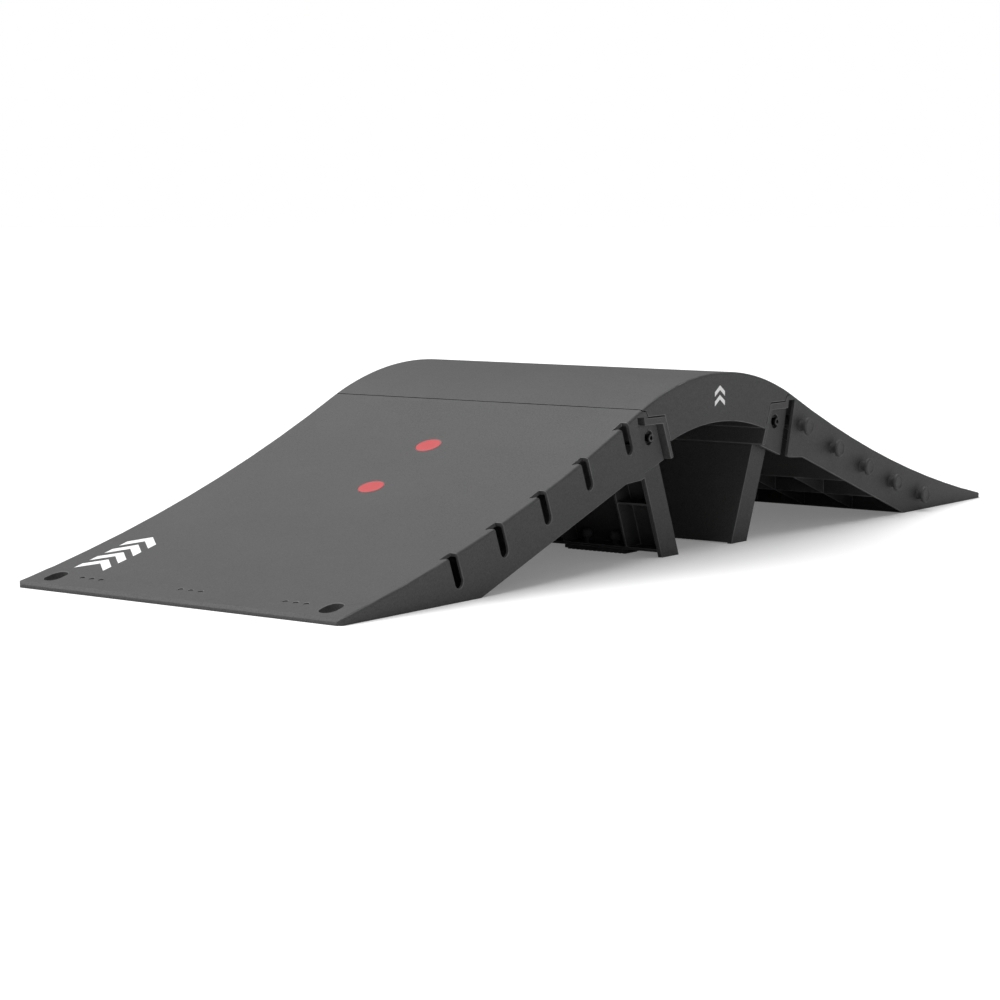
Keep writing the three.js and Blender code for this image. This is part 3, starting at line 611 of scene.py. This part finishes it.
def makeMoulding(node, curve=None):
    settings = {**mouldings, **(mouldings[curve] if curve else {})}
    bm = bmesh.new()
    bm.from_mesh(frame["nodes"][node].data)
    bmesh.ops.remove_doubles(bm, verts=bm.verts, dist=settings["merge"])
    if curve:
        trueCurve(bm, settings)
    bmesh.ops.dissolve_limit(bm, angle_limit=settings["flat"], verts=bm.verts, edges=bm.edges)
    if curve:
        bmesh.ops.dissolve_degenerate(bm, dist=settings["sliver"], edges=bm.edges)
    mesh = roundEdges(bm, camelName(node) + "Moulding", settings)
    low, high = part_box(node)
    places = np.zeros(3 * len(mesh.vertices), np.float32)
    mesh.vertices.foreach_get("co", places)
    places = places.reshape(-1, 3)
    held = np.clip(places, np.array(low), np.array(high))
    print("   moved into the box by at most %.2f mm" % (np.abs(held - places).max() / mm))
    mesh.vertices.foreach_set("co", held.astype(np.float32).ravel())
    piece = addPiece(mesh.name, mesh, mouldedPlastic, bodyOf(node), [node])
    print("  ", piece.name, len(mesh.polygons), "faces")
    return piece


decks = {side: makeMoulding(side + "_deck", "deck") for side in ("left", "right")}
bridge = makeMoulding("bridge_deck", "bridge")
legs = {side: makeMoulding(side + "_leg") for side in ("left", "right")}
print("mouldings made")


# turned and hexagonal pieces: bolts, nuts, washers, sleeves and studs
def easeCorners(outline, radius, closed=False, steps=3):
    # give every corner of an outline a small curve; a third value says how its ring is shaped
    count = len(outline)
    eased = [] if closed else [outline[0]]
    for i in range(0 if closed else 1, count if closed else count - 1):
        before, corner, after = outline[i - 1], outline[i], outline[(i + 1) % count]
        middle = Vector(corner[:2])
        back, ahead = Vector(before[:2]) - middle, Vector(after[:2]) - middle
        reach = min(radius, 0.45 * back.length, 0.45 * ahead.length)
        start, end = middle + back.normalized() * reach, middle + ahead.normalized() * reach
        for step in range(steps + 1):
            t = step / steps
            point = start * (1 - t) ** 2 + middle * 2 * t * (1 - t) + end * t**2
            eased.append((point.x, point.y, *corner[2:]))
    return eased if closed else eased + [outline[-1]]


ringShape = {
    "hexEnd": 1.03,
    "knurls": 40,
    "knurlDepth": 0.16 * mm,
    "threadPitch": 1.25 * mm,
    "threadDepth": 0.65 * mm,
}


def ringRadius(radius, along, angle, kind):
    s = ringShape
    if kind in ("hex", "hexEnd"):
        turn = (angle % (math.pi / 3)) - math.pi / 6
        corner = radius / math.cos(turn)
        return min(corner, s["hexEnd"] * radius) if kind == "hexEnd" else corner
    if kind == "knurl":
        return radius - s["knurlDepth"] * abs(2 * ((angle * s["knurls"] / math.tau) % 1) - 1)
    if kind == "thread":
        return radius - s["threadDepth"] * abs(2 * ((along / s["threadPitch"] + angle / math.tau) % 1) - 1)
    return radius


def turnedBody(bm, outline, sides, matrix, closed=False):
    # rings about local Z; an end on the axis closes with a single point
    rings = []
    for radius, along, *kind in outline:
        if radius < 1e-7:
            rings.append([bm.verts.new(matrix @ Vector((0, 0, along)))])
            continue
        ring = []
        for i in range(sides):
            angle = math.tau * i / sides
            r = ringRadius(radius, along, angle, kind[0] if kind else "round")
            ring.append(bm.verts.new(matrix @ Vector((r * math.cos(angle), r * math.sin(angle), along))))
        rings.append(ring)
    faces = []
    for first, second in zip(rings, rings[1:] + rings[:1] if closed else rings[1:]):
        for i in range(sides):
            j = (i + 1) % sides
            near = [first[i % len(first)], first[j % len(first)]]
            far = [second[j % len(second)], second[i % len(second)]]
            faces.append(bm.faces.new(dict.fromkeys(near + far)))
    bmesh.ops.recalc_face_normals(bm, faces=faces)
    return faces


def finishMesh(bm, name, sharp=40):
    mesh = bpy.data.meshes.new(name)
    bm.to_mesh(mesh)
    bm.free()
    mesh.shade_smooth()
    mesh.set_sharp_from_angle(angle=math.radians(sharp))
    return mesh


def axisPlace(node):
    # axis of a piece that runs along Y: its matrix with local Z pointing outwards, and its two ends
    low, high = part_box(node)
    side = 1 if low[1] + high[1] > 0 else -1
    matrix = Matrix.Translation(((low[0] + high[0]) / 2, 0, (low[2] + high[2]) / 2))
    matrix @= Matrix.Rotation(-side * math.pi / 2, 4, "X")
    ends = sorted((abs(low[1]), abs(high[1])))
    return matrix, *ends


boltShape = {
    "sides": 120,
    "headRadius": 6.5 * mm,
    "headLength": 8 * mm,
    "shankRadius": 4 * mm,
    "socketHalf": 3 * mm,
    "socketDepth": 4 * mm,
    "threadLength": 20 * mm,
    "threadRing": 0.21 * mm,
    "chamfer": 0.8 * mm,
    "ease": 0.18 * mm,
}


def boltOutline(tail, face):
    s = boltShape
    seat = face - s["headLength"]
    head = [
        (0, face - 1.25 * s["socketDepth"]),
        (s["socketHalf"], face - s["socketDepth"], "hex"),
        (s["socketHalf"], face - 0.35 * mm, "hex"),
        (1.22 * s["socketHalf"], face, "round"),
        (s["headRadius"] - s["chamfer"], face, "round"),
        (s["headRadius"], face - s["chamfer"], "knurl"),
        (s["headRadius"], seat + 0.5 * mm, "knurl"),
        (s["headRadius"] - 0.3 * mm, seat, "round"),
        (s["shankRadius"], seat, "round"),
        (s["shankRadius"], tail + s["threadLength"], "round"),
    ]
    low, high = tail + s["chamfer"], tail + s["threadLength"] - 0.5 * mm
    turns = [(s["shankRadius"], along, "thread") for along in np.arange(high, low, -s["threadRing"])]
    tip = [(s["shankRadius"] - s["chamfer"], tail, "round"), (0, tail)]
    return easeCorners(head, s["ease"]) + turns + tip


nutShape = {"bore": 4.3 * mm, "flat": 6.5 * mm, "boreEase": 0.5 * mm, "rim": 0.35 * mm, "chamfer": 0.9 * mm}


def nutOutline(inner, outer):
    s = nutShape
    bore, flat, ease = s["bore"], s["flat"], s["boreEase"]
    return [
        (bore, outer - ease),
        (bore + ease, outer),
        (flat, outer, "hexEnd"),
        (flat, outer - s["rim"], "hexEnd"),
        (flat, outer - s["chamfer"], "hex"),
        (flat, inner + s["chamfer"], "hex"),
        (flat, inner + s["rim"], "hexEnd"),
        (flat, inner, "hexEnd"),
        (bore + ease, inner),
        (bore, inner + ease),
    ]


washerShape = {"bore": 4.3 * mm, "radius": 9 * mm, "ease": 0.35 * mm}


def washerOutline(inner, outer):
    bore, radius = washerShape["bore"], washerShape["radius"]
    ring = [(bore, inner), (radius, inner), (radius, outer), (bore, outer)]
    return easeCorners(ring, washerShape["ease"], closed=True)


sleeveShape = {
    "bore": 4.3 * mm,
    "radius": 6 * mm,
    "grooves": (0.3, 0.7),
    "grooveDepth": 0.35 * mm,
    "grooveFlat": 0.5 * mm,
    "grooveHalf": 0.9 * mm,
    "ease": 0.3 * mm,
}


def sleeveOutline(inner, outer):
    s = sleeveShape
    radius = s["radius"]
    ring = [(s["bore"], inner), (radius, inner)]
    for share in s["grooves"]:
        middle = inner + share * (outer - inner)
        ring.append((radius, middle - s["grooveHalf"]))
        ring.append((radius - s["grooveDepth"], middle - s["grooveFlat"]))
        ring.append((radius - s["grooveDepth"], middle + s["grooveFlat"]))
        ring.append((radius, middle + s["grooveHalf"]))
    ring += [(radius, outer), (s["bore"], outer)]
    return easeCorners(ring, s["ease"], closed=True)


hardware = {
    "bolt": {"outline": boltOutline, "closed": False, "material": dulledZinc, "slot": "steel"},
    "nut": {"outline": nutOutline, "closed": True, "material": dulledZinc, "slot": "steel"},
    "washer": {"outline": washerOutline, "closed": True, "material": dulledZinc, "slot": "steel"},
    "sleeve": {"outline": sleeveOutline, "closed": True, "material": blackNylon, "slot": "nylon"},
}


def addHardware(ramp, kind, place):
    node = f"{ramp}_hinge_{kind}_{place}"
    settings = hardware[kind]
    matrix, inner, outer = axisPlace(node)
    bm = bmesh.new()
    turnedBody(bm, settings["outline"](inner, outer), boltShape["sides"], matrix, settings["closed"])
    mesh = finishMesh(bm, camelName(node), 30)
    return addPiece(mesh.name, mesh, settings["material"], bodyOf(node), [node])


for ramp in ("left", "right"):
    for place in ("slot_side", "stud_side"):
        for kind in hardware:
            addHardware(ramp, kind, place)
print("hinge hardware made")


# rows and patterns made with geometry nodes
def newGeometry(name, inputs):
    through = ("Geometry", "NodeSocketGeometry")
    return newGroup(name, "GeometryNodeTree", [(*through, None), *inputs], [through])


def closeGeometry(tree, taken, given, geometry):
    whole = addNode(tree, "GeometryNodeRealizeInstances", {"Geometry": geometry}).outputs["Geometry"]
    painted = addNode(tree, "GeometryNodeSetMaterial", {"Geometry": whole, "Material": taken["Material"]})
    tree.links.new(painted.outputs[0], given["Geometry"])


def throughNodes(mesh, group, values, name):
    # run a mesh through a node group and keep the result as a plain mesh
    holder = bpy.data.objects.new(name + "Source", mesh)
    bpy.context.scene.collection.objects.link(holder)
    modifier = holder.modifiers.new("nodes", "NODES")
    modifier.node_group = group
    items = group.interface.items_tree
    sockets = {item.name: item.identifier for item in items if item.in_out == "INPUT"}
    for label, value in values.items():
        modifier[sockets[label]] = value
    ready = holder.evaluated_get(bpy.context.evaluated_depsgraph_get())
    made = bpy.data.meshes.new_from_object(ready)
    made.name = name
    bpy.data.objects.remove(holder)
    return made


def makeStudRowGroup():
    # one stud on every point, each turned a little about its own axis
    inputs = [
        ("Stud", "NodeSocketObject", None),
        ("Turn", "NodeSocketFloat", 3.0),
        ("Seed", "NodeSocketInt", 7),
        ("Material", "NodeSocketMaterial", None),
    ]
    tree, taken, given = newGeometry("studRow", inputs)
    points = addNode(tree, "GeometryNodeMeshToPoints", {"Mesh": taken["Geometry"]}).outputs[0]
    stud = addNode(tree, "GeometryNodeObjectInfo", {"Object": taken["Stud"]}).outputs["Geometry"]
    spread = addNode(
        tree,
        "FunctionNodeRandomValue",
        {"Min": mathNode(tree, "MULTIPLY", taken["Turn"], -1.0), "Max": taken["Turn"], "Seed": taken["Seed"]},
        data_type="FLOAT",
    )
    turn = addNode(tree, "ShaderNodeCombineXYZ", {"Y": spread.outputs["Value"]}).outputs[0]
    placed = addNode(
        tree, "GeometryNodeInstanceOnPoints", {"Points": points, "Instance": stud, "Rotation": turn}
    ).outputs[0]
    closeGeometry(tree, taken, given, placed)
    return tree


linkStud = {
    "sides": 64,
    "wall": 300.3 * mm,
    "collar": (10 * mm, 291.7 * mm, 294.7 * mm),
    "spigot": 7 * mm,
    "neck": 8.5 * mm,
    "head": (14.5 * mm, 312.5 * mm, 318.5 * mm),
    "dish": (9.2 * mm, 0.9 * mm),
    "corner": 1.3 * mm,
    "turn": 3.0,
    "seed": 7,
}


def studOutline():
    s = linkStud
    collar, collarIn, collarOut = s["collar"]
    head, headIn, headOut = s["head"]
    dish, dishDepth = s["dish"]
    outline = [
        (0, collarIn),
        (collar, collarIn),
        (collar, collarOut),
        (s["spigot"], collarOut),
        (s["spigot"], s["wall"]),
        (s["neck"] + 1.2 * mm, s["wall"]),
        (s["neck"], s["wall"] + 1.6 * mm),
        (s["neck"], headIn - 0.8 * mm),
        (s["neck"] + 1.5 * mm, headIn),
        (head - 0.5 * mm, headIn),
        (head, headIn + 0.7 * mm),
        (head, headOut - 2 * mm),
        (head - 1.6 * mm, headOut),
        (dish + 0.8 * mm, headOut),
        (dish, headOut - dishDepth),
        (0, headOut - dishDepth),
    ]
    return easeCorners(outline, s["corner"] / 2)


def addStudRow(ramp, group):
    nodes = [f"{ramp}_link_stud_{i}" for i in range(1, 6)]
    boxes = [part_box(node) for node in nodes]
    side = 1 if boxes[0][0][1] > 0 else -1
    bm = bmesh.new()
    turnedBody(bm, studOutline(), linkStud["sides"], Matrix.Rotation(-side * math.pi / 2, 4, "X"))
    shape = bpy.data.objects.new("studShape", finishMesh(bm, "studShape"))
    spots = bpy.data.meshes.new("studPlaces")
    spots.from_pydata([((a[0] + b[0]) / 2, 0, (a[2] + b[2]) / 2) for a, b in boxes], [], [])
    values = {
        "Stud": shape,
        "Turn": linkStud["turn"],
        "Seed": linkStud["seed"],
        "Material": mouldedPlastic,
    }
    name = ramp + "LinkStuds"
    mesh = throughNodes(spots, group, values, name)
    bpy.data.objects.remove(shape)
    return addPiece(name, mesh, mouldedPlastic, bodyOf(nodes[0]), nodes)


studRowGroup = makeStudRowGroup()
for ramp in ("left", "right"):
    addStudRow(ramp, studRowGroup)
print("link studs made")


def makeGripGroup():
    # moulded grip bars under a rubber pad, side by side along its length
    inputs = [
        ("Bars", "NodeSocketInt", 9),
        ("Pitch", "NodeSocketFloat", 0.008),
        ("First", "NodeSocketVector", None),
        ("Bar Size", "NodeSocketVector", None),
        ("Material", "NodeSocketMaterial", None),
    ]
    tree, taken, given = newGeometry("gripBars", inputs)
    step = addNode(tree, "ShaderNodeCombineXYZ", {"Y": taken["Pitch"]}).outputs[0]
    line = addNode(
        tree,
        "GeometryNodeMeshLine",
        {"Count": taken["Bars"], "Start Location": taken["First"], "Offset": step},
    ).outputs[0]
    bar = addNode(tree, "GeometryNodeMeshCube", {"Size": taken["Bar Size"]}).outputs["Mesh"]
    bars = addNode(tree, "GeometryNodeInstanceOnPoints", {"Points": line, "Instance": bar}).outputs[0]
    joined = addNode(tree, "GeometryNodeJoinGeometry")
    tree.links.new(bars, joined.inputs[0])
    tree.links.new(taken["Geometry"], joined.inputs[0])
    closeGeometry(tree, taken, given, joined.outputs[0])
    return tree


pads = {
    "toe_pad": {
        "count": 3,
        "thickness": 3 * mm,
        "tread": 0.9 * mm,
        "edge": 0.7 * mm,
        "pitch": 6 * mm,
        "barWidth": 3.6 * mm,
        "studs": (-18.5 * mm, 0, 18.5 * mm),
        "head": None,
        "studRadius": 3.8 * mm,
        "studDome": 0.8 * mm,
    },
    "foot_pad": {
        "count": 2,
        "thickness": 7.2 * mm,
        "tread": 1.6 * mm,
        "edge": 1.0 * mm,
        "pitch": 8 * mm,
        "barWidth": 5 * mm,
        "studs": (-27 * mm, 27 * mm),
        "studRadius": 4 * mm,
        "head": {"radius": 9 * mm, "bottom": 18.5 * mm},
    },
}


def padStudOutline(settings, top):
    neck, root = settings["studRadius"], settings["thickness"] - 1 * mm
    head = settings["head"]
    if not head:
        dome = settings["studDome"]
        outline = [(0, root), (neck, root), (neck, top - dome), (0.75 * neck, top - 0.15 * dome), (0, top)]
        return easeCorners(outline, 0.6 * mm)
    wide, low = head["radius"], head["bottom"]
    tall = top - low
    outline = [
        (0, root),
        (neck, root),
        (neck, low - 1 * mm),
        (0.62 * wide, low),
        (0.84 * wide, low + 0.05 * tall),
        (wide, low + 0.34 * tall),
        (0.97 * wide, low + 0.55 * tall),
        (0.80 * wide, low + 0.80 * tall),
        (0.45 * wide, low + 0.96 * tall),
        (0, top),
    ]
    return easeCorners(outline, 1.6 * mm, steps=4)


def studAxis(node, settings):
    # the studs stand where the CAD pad's highest points are
    mesh = frame["nodes"][node].data
    top = max(v.co.z for v in mesh.vertices)
    crown = [v.co for v in mesh.vertices if v.co.z > top - 0.5 * mm]
    return sum(point.x for point in crown) / len(crown), top


def addPad(ramp, kind, index, group):
    settings = pads[kind]
    node = f"{ramp}_{kind}_{index}"
    low, high = (Vector(end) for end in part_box(node))
    tread, thickness = settings["tread"], settings["thickness"]
    bm = bmesh.new()
    slab = bmesh.ops.create_cube(bm, size=1)["verts"]
    size = Vector((high.x - low.x, high.y - low.y, thickness - tread))
    middle = Vector(((low.x + high.x) / 2, (low.y + high.y) / 2, low.z + tread + size.z / 2))
    bmesh.ops.transform(bm, matrix=Matrix.Translation(middle) @ Matrix.Diagonal((*size, 1)), verts=slab)
    edge = min(settings["edge"], 0.4 * size.z)
    bmesh.ops.bevel(bm, geom=bm.edges[:], offset=edge, segments=4, profile=0.5, affect="EDGES")
    x, top = studAxis(node, settings)
    for offset in settings["studs"]:
        place = Matrix.Translation((x, middle.y + offset, 0))
        turnedBody(bm, padStudOutline(settings, top), 40, place)
    inset = 2 * edge
    bars = int((size.y - 2 * inset) / settings["pitch"])
    first = Vector((middle.x, middle.y - (bars - 1) * settings["pitch"] / 2, low.z + tread * 0.6))
    values = {
        "Bars": bars,
        "Pitch": settings["pitch"],
        "First": first,
        "Bar Size": Vector((size.x - inset, settings["barWidth"], 1.2 * tread)),
        "Material": blackRubber,
    }
    mesh = throughNodes(finishMesh(bm, node), group, values, camelName(node))
    return addPiece(mesh.name, mesh, blackRubber, bodyOf(node), [node])


gripGroup = makeGripGroup()
for ramp in ("left", "right"):
    for kind in pads:
        for index in range(1, pads[kind]["count"] + 1):
            addPad(ramp, kind, index, gripGroup)
print("rubber pads made")


marker = {"radius": 20 * mm, "thickness": 2.1 * mm, "dome": 0.25 * mm, "sides": 96, "edge": 0.5 * mm}


def addMarker(ramp, index):
    # a soft domed disc, square to the riding surface like the CAD disc it stands for
    node = f"{ramp}_marker_{index}"
    corners = np.array([v.co for v in frame["nodes"][node].data.vertices])
    centre = corners.mean(0)
    normal = np.linalg.svd(corners - centre)[2][2]
    up = Vector(normal * np.sign(normal[2]))
    matrix = Matrix.Translation(centre) @ up.to_track_quat("Z", "Y").to_matrix().to_4x4()
    half, radius = marker["thickness"] / 2, marker["radius"]
    top = [(0, half)]
    for share in np.linspace(0.15, 0.96, 10):
        top.append((radius * share, half - marker["dome"] * share**3))
    outline = [*top, (radius, half - marker["dome"]), (radius, -half), (0, -half)]
    bm = bmesh.new()
    turnedBody(bm, easeCorners(outline, marker["edge"], steps=4), marker["sides"], matrix)
    mesh = finishMesh(bm, camelName(node))
    return addPiece(mesh.name, mesh, redSatin, bodyOf(node), [node])


for ramp in ("left", "right"):
    for index in (1, 2):
        addMarker(ramp, index)
print("markers made")


# plain white chevrons, printed on the near ends of the decks and on the bridge's sides
def makeMarkGroup():
    # a row of thin flat shapes laid onto a surface: X and Y place them, height keeps their thickness
    inputs = [
        ("Surface", "NodeSocketObject", None),
        ("Count", "NodeSocketInt", 3),
        ("Step", "NodeSocketVector", None),
        ("Start", "NodeSocketVector", None),
        ("Spin", "NodeSocketVector", None),
        ("Cast", "NodeSocketVector", None),
        ("Material", "NodeSocketMaterial", None),
    ]
    tree, taken, given = newGeometry("surfaceMarks", inputs)
    place = addNode(tree, "GeometryNodeInputPosition").outputs[0]
    height = addNode(tree, "ShaderNodeSeparateXYZ", {0: place}).outputs["Z"]
    kept = addNode(
        tree,
        "GeometryNodeStoreNamedAttribute",
        {"Geometry": taken["Geometry"], "Name": "height", "Value": height},
    ).outputs[0]
    line = addNode(
        tree,
        "GeometryNodeMeshLine",
        {"Count": taken["Count"], "Start Location": taken["Start"], "Offset": taken["Step"]},
    ).outputs[0]
    row = addNode(
        tree, "GeometryNodeInstanceOnPoints", {"Points": line, "Instance": kept, "Rotation": taken["Spin"]}
    ).outputs[0]
    flat = addNode(tree, "GeometryNodeRealizeInstances", {"Geometry": row}).outputs[0]
    surface = addNode(tree, "GeometryNodeObjectInfo", {"Object": taken["Surface"]}).outputs["Geometry"]
    hit = addNode(
        tree,
        "GeometryNodeRaycast",
        {"Target Geometry": surface, "Ray Direction": taken["Cast"], "Ray Length": 1.0},
    ).outputs
    lift = addNode(tree, "GeometryNodeInputNamedAttribute", {"Name": "height"}, data_type="FLOAT").outputs[0]
    rise = addNode(
        tree, "ShaderNodeVectorMath", {0: hit["Hit Normal"], "Scale": lift}, operation="SCALE"
    ).outputs[0]
    laid = addNode(
        tree, "ShaderNodeVectorMath", {0: hit["Hit Position"], 1: rise}, operation="ADD"
    ).outputs[0]
    moved = addNode(tree, "GeometryNodeSetPosition", {"Geometry": flat, "Position": laid}).outputs[0]
    closeGeometry(tree, taken, given, moved)
    return tree


def chevronMesh(wing, drop, width, cell, low, high):
    # a closed thin chevron pointing along +X: two arms of small quads between a low and a high layer
    bm = bmesh.new()
    steps = max(2, round(wing / cell))
    across = max(1, round(width / cell))
    layers = []
    for z in (low, high):
        grid = []
        for i in range(-steps, steps + 1):
            y = wing * i / steps
            x = -drop * abs(i) / steps
            grid.append([bm.verts.new((x - width * j / across, y, z)) for j in range(across + 1)])
        layers.append(grid)
    bottom, top = layers
    for i in range(2 * steps):
        for j in range(across):
            for grid in layers:
                bm.faces.new((grid[i][j], grid[i + 1][j], grid[i + 1][j + 1], grid[i][j + 1]))
        for j in (0, across):
            bm.faces.new((bottom[i][j], bottom[i + 1][j], top[i + 1][j], top[i][j]))
    for i in (0, 2 * steps):
        for j in range(across):
            bm.faces.new((bottom[i][j], bottom[i][j + 1], top[i][j + 1], top[i][j]))
    bmesh.ops.recalc_face_normals(bm, faces=bm.faces)
    mesh = bpy.data.meshes.new("chevron")
    bm.to_mesh(mesh)
    bm.free()
    return mesh


marks = {
    "layers": (0.04 * mm, 0.16 * mm),
    "cell": 4 * mm,
    "castFrom": 0.6,
    "deck": {
        "wing": 29 * mm,
        "drop": 24 * mm,
        "width": 17 * mm,
        "count": 4,
        "pitch": 31 * mm,
        "first": 733 * mm,
        "aside": 229 * mm,
    },
    "bridge": {
        "wing": 15 * mm,
        "drop": 10 * mm,
        "width": 7.5 * mm,
        "count": 2,
        "pitch": 15 * mm,
        "first": 262 * mm,
    },
}


def addMarks(name, surface, settings, values):
    low, high = marks["layers"]
    shape = chevronMesh(settings["wing"], settings["drop"], settings["width"], marks["cell"], low, high)
    shared = {"Surface": surface, "Count": settings["count"], "Material": whitePrint}
    mesh = throughNodes(shape, markGroup, {**shared, **values}, name)
    return addPiece(name, mesh, whitePrint, surface["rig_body"], None)


markGroup = makeMarkGroup()
for side, turned in (("left", -1), ("right", 1)):
    row = marks["deck"]
    values = {
        "Start": Vector((turned * row["first"], -turned * row["aside"], marks["castFrom"])),
        "Step": Vector((turned * row["pitch"], 0, 0)),
        "Spin": Vector((0, 0, 0 if turned < 0 else math.pi)),
        "Cast": Vector((0, 0, -1)),
    }
    addMarks(side + "DeckMarks", decks[side], row, values)
for side, turned in (("Slot", -1), ("Stud", 1)):
    row = marks["bridge"]
    values = {
        "Start": Vector((0, turned * marks["castFrom"], row["first"])),
        "Step": Vector((0, 0, -row["pitch"])),
        "Spin": Vector((math.pi / 2, -math.pi / 2, 0)),
        "Cast": Vector((0, -turned, 0)),
    }
    addMarks("bridge" + side + "Marks", bridge, row, values)
print("printed marks made")


# stage, light and camera
camera = {
    "place": (-3.5388, -2.4518, 0.5433),
    "look": (0.80293, 0.58554, -0.11152),
    "lens": 94.46,
    "sensor": 36,
}
studio = {
    "floorTone": 0.86,
    "floorGlow": 0.17,
    "floorRadius": 60,
    "skyLight": 0.24,
    "top": {"from": (-0.05, 0.30, 1.0), "angle": 75, "power": 2.75},
    "back": {"from": (-0.35, 1.0, 1.0), "angle": 50, "power": 1.3},
}


def addCamera():
    data = bpy.data.cameras.new("camera")
    data.lens = camera["lens"]
    data.sensor_width = camera["sensor"]
    data.clip_start, data.clip_end = 0.05, 200
    holder = bpy.data.objects.new("camera", data)
    holder.location = camera["place"]
    holder.rotation_euler = Vector(camera["look"]).to_track_quat("-Z", "Y").to_euler()
    bpy.context.scene.collection.objects.link(holder)
    bpy.context.scene.camera = holder


def addFloor():
    mesh = bpy.data.meshes.new("floor")
    bm = bmesh.new()
    bmesh.ops.create_circle(bm, cap_ends=True, segments=96, radius=studio["floorRadius"])
    bm.to_mesh(mesh)
    bm.free()
    material = bpy.data.materials.new("paleFloor")
    material.use_nodes = True
    tree = material.node_tree
    shader = tree.nodes["Principled BSDF"]
    tone = studio["floorTone"]
    shader.inputs["Base Color"].default_value = (tone, tone, tone, 1)
    shader.inputs["Roughness"].default_value = 0.9
    shader.inputs["Specular IOR Level"].default_value = 0.1
    shader.inputs["Emission Color"].default_value = (1, 1, 1, 1)
    shown = addNode(tree, "ShaderNodeLightPath").outputs["Is Camera Ray"]
    tree.links.new(mathNode(tree, "MULTIPLY", shown, studio["floorGlow"]), shader.inputs["Emission Strength"])
    mesh.materials.append(material)
    floor = bpy.data.objects.new("floor", mesh)
    floor.location.z = cadLow.z
    bpy.context.scene.collection.objects.link(floor)


def addSun(name):
    # a wide soft source so far away that the floor is lit evenly out to the horizon
    light = studio[name]
    data = bpy.data.lights.new(name, "SUN")
    data.angle = math.radians(light["angle"])
    data.energy = light["power"]
    holder = bpy.data.objects.new(name, data)
    holder.rotation_euler = Vector(light["from"]).to_track_quat("Z", "Y").to_euler()
    bpy.context.scene.collection.objects.link(holder)


def addSky():
    # a plain white backdrop that gives only part of its brightness as light
    world = bpy.data.worlds.new("studioSky")
    bpy.context.scene.world = world
    world.use_nodes = True
    tree = world.node_tree
    shown = addNode(tree, "ShaderNodeLightPath").outputs["Is Camera Ray"]
    strength = addNode(
        tree, "ShaderNodeMapRange", {"Value": shown, "To Min": studio["skyLight"], "To Max": 1.0}
    ).outputs[0]
    background = tree.nodes["Background"]
    background.inputs["Color"].default_value = (1, 1, 1, 1)
    tree.links.new(strength, background.inputs["Strength"])


addCamera()
addFloor()
for name in ("top", "back"):
    addSun(name)
addSky()
bpy.context.scene.view_settings.view_transform = "Standard"
print("stage, light and camera set")
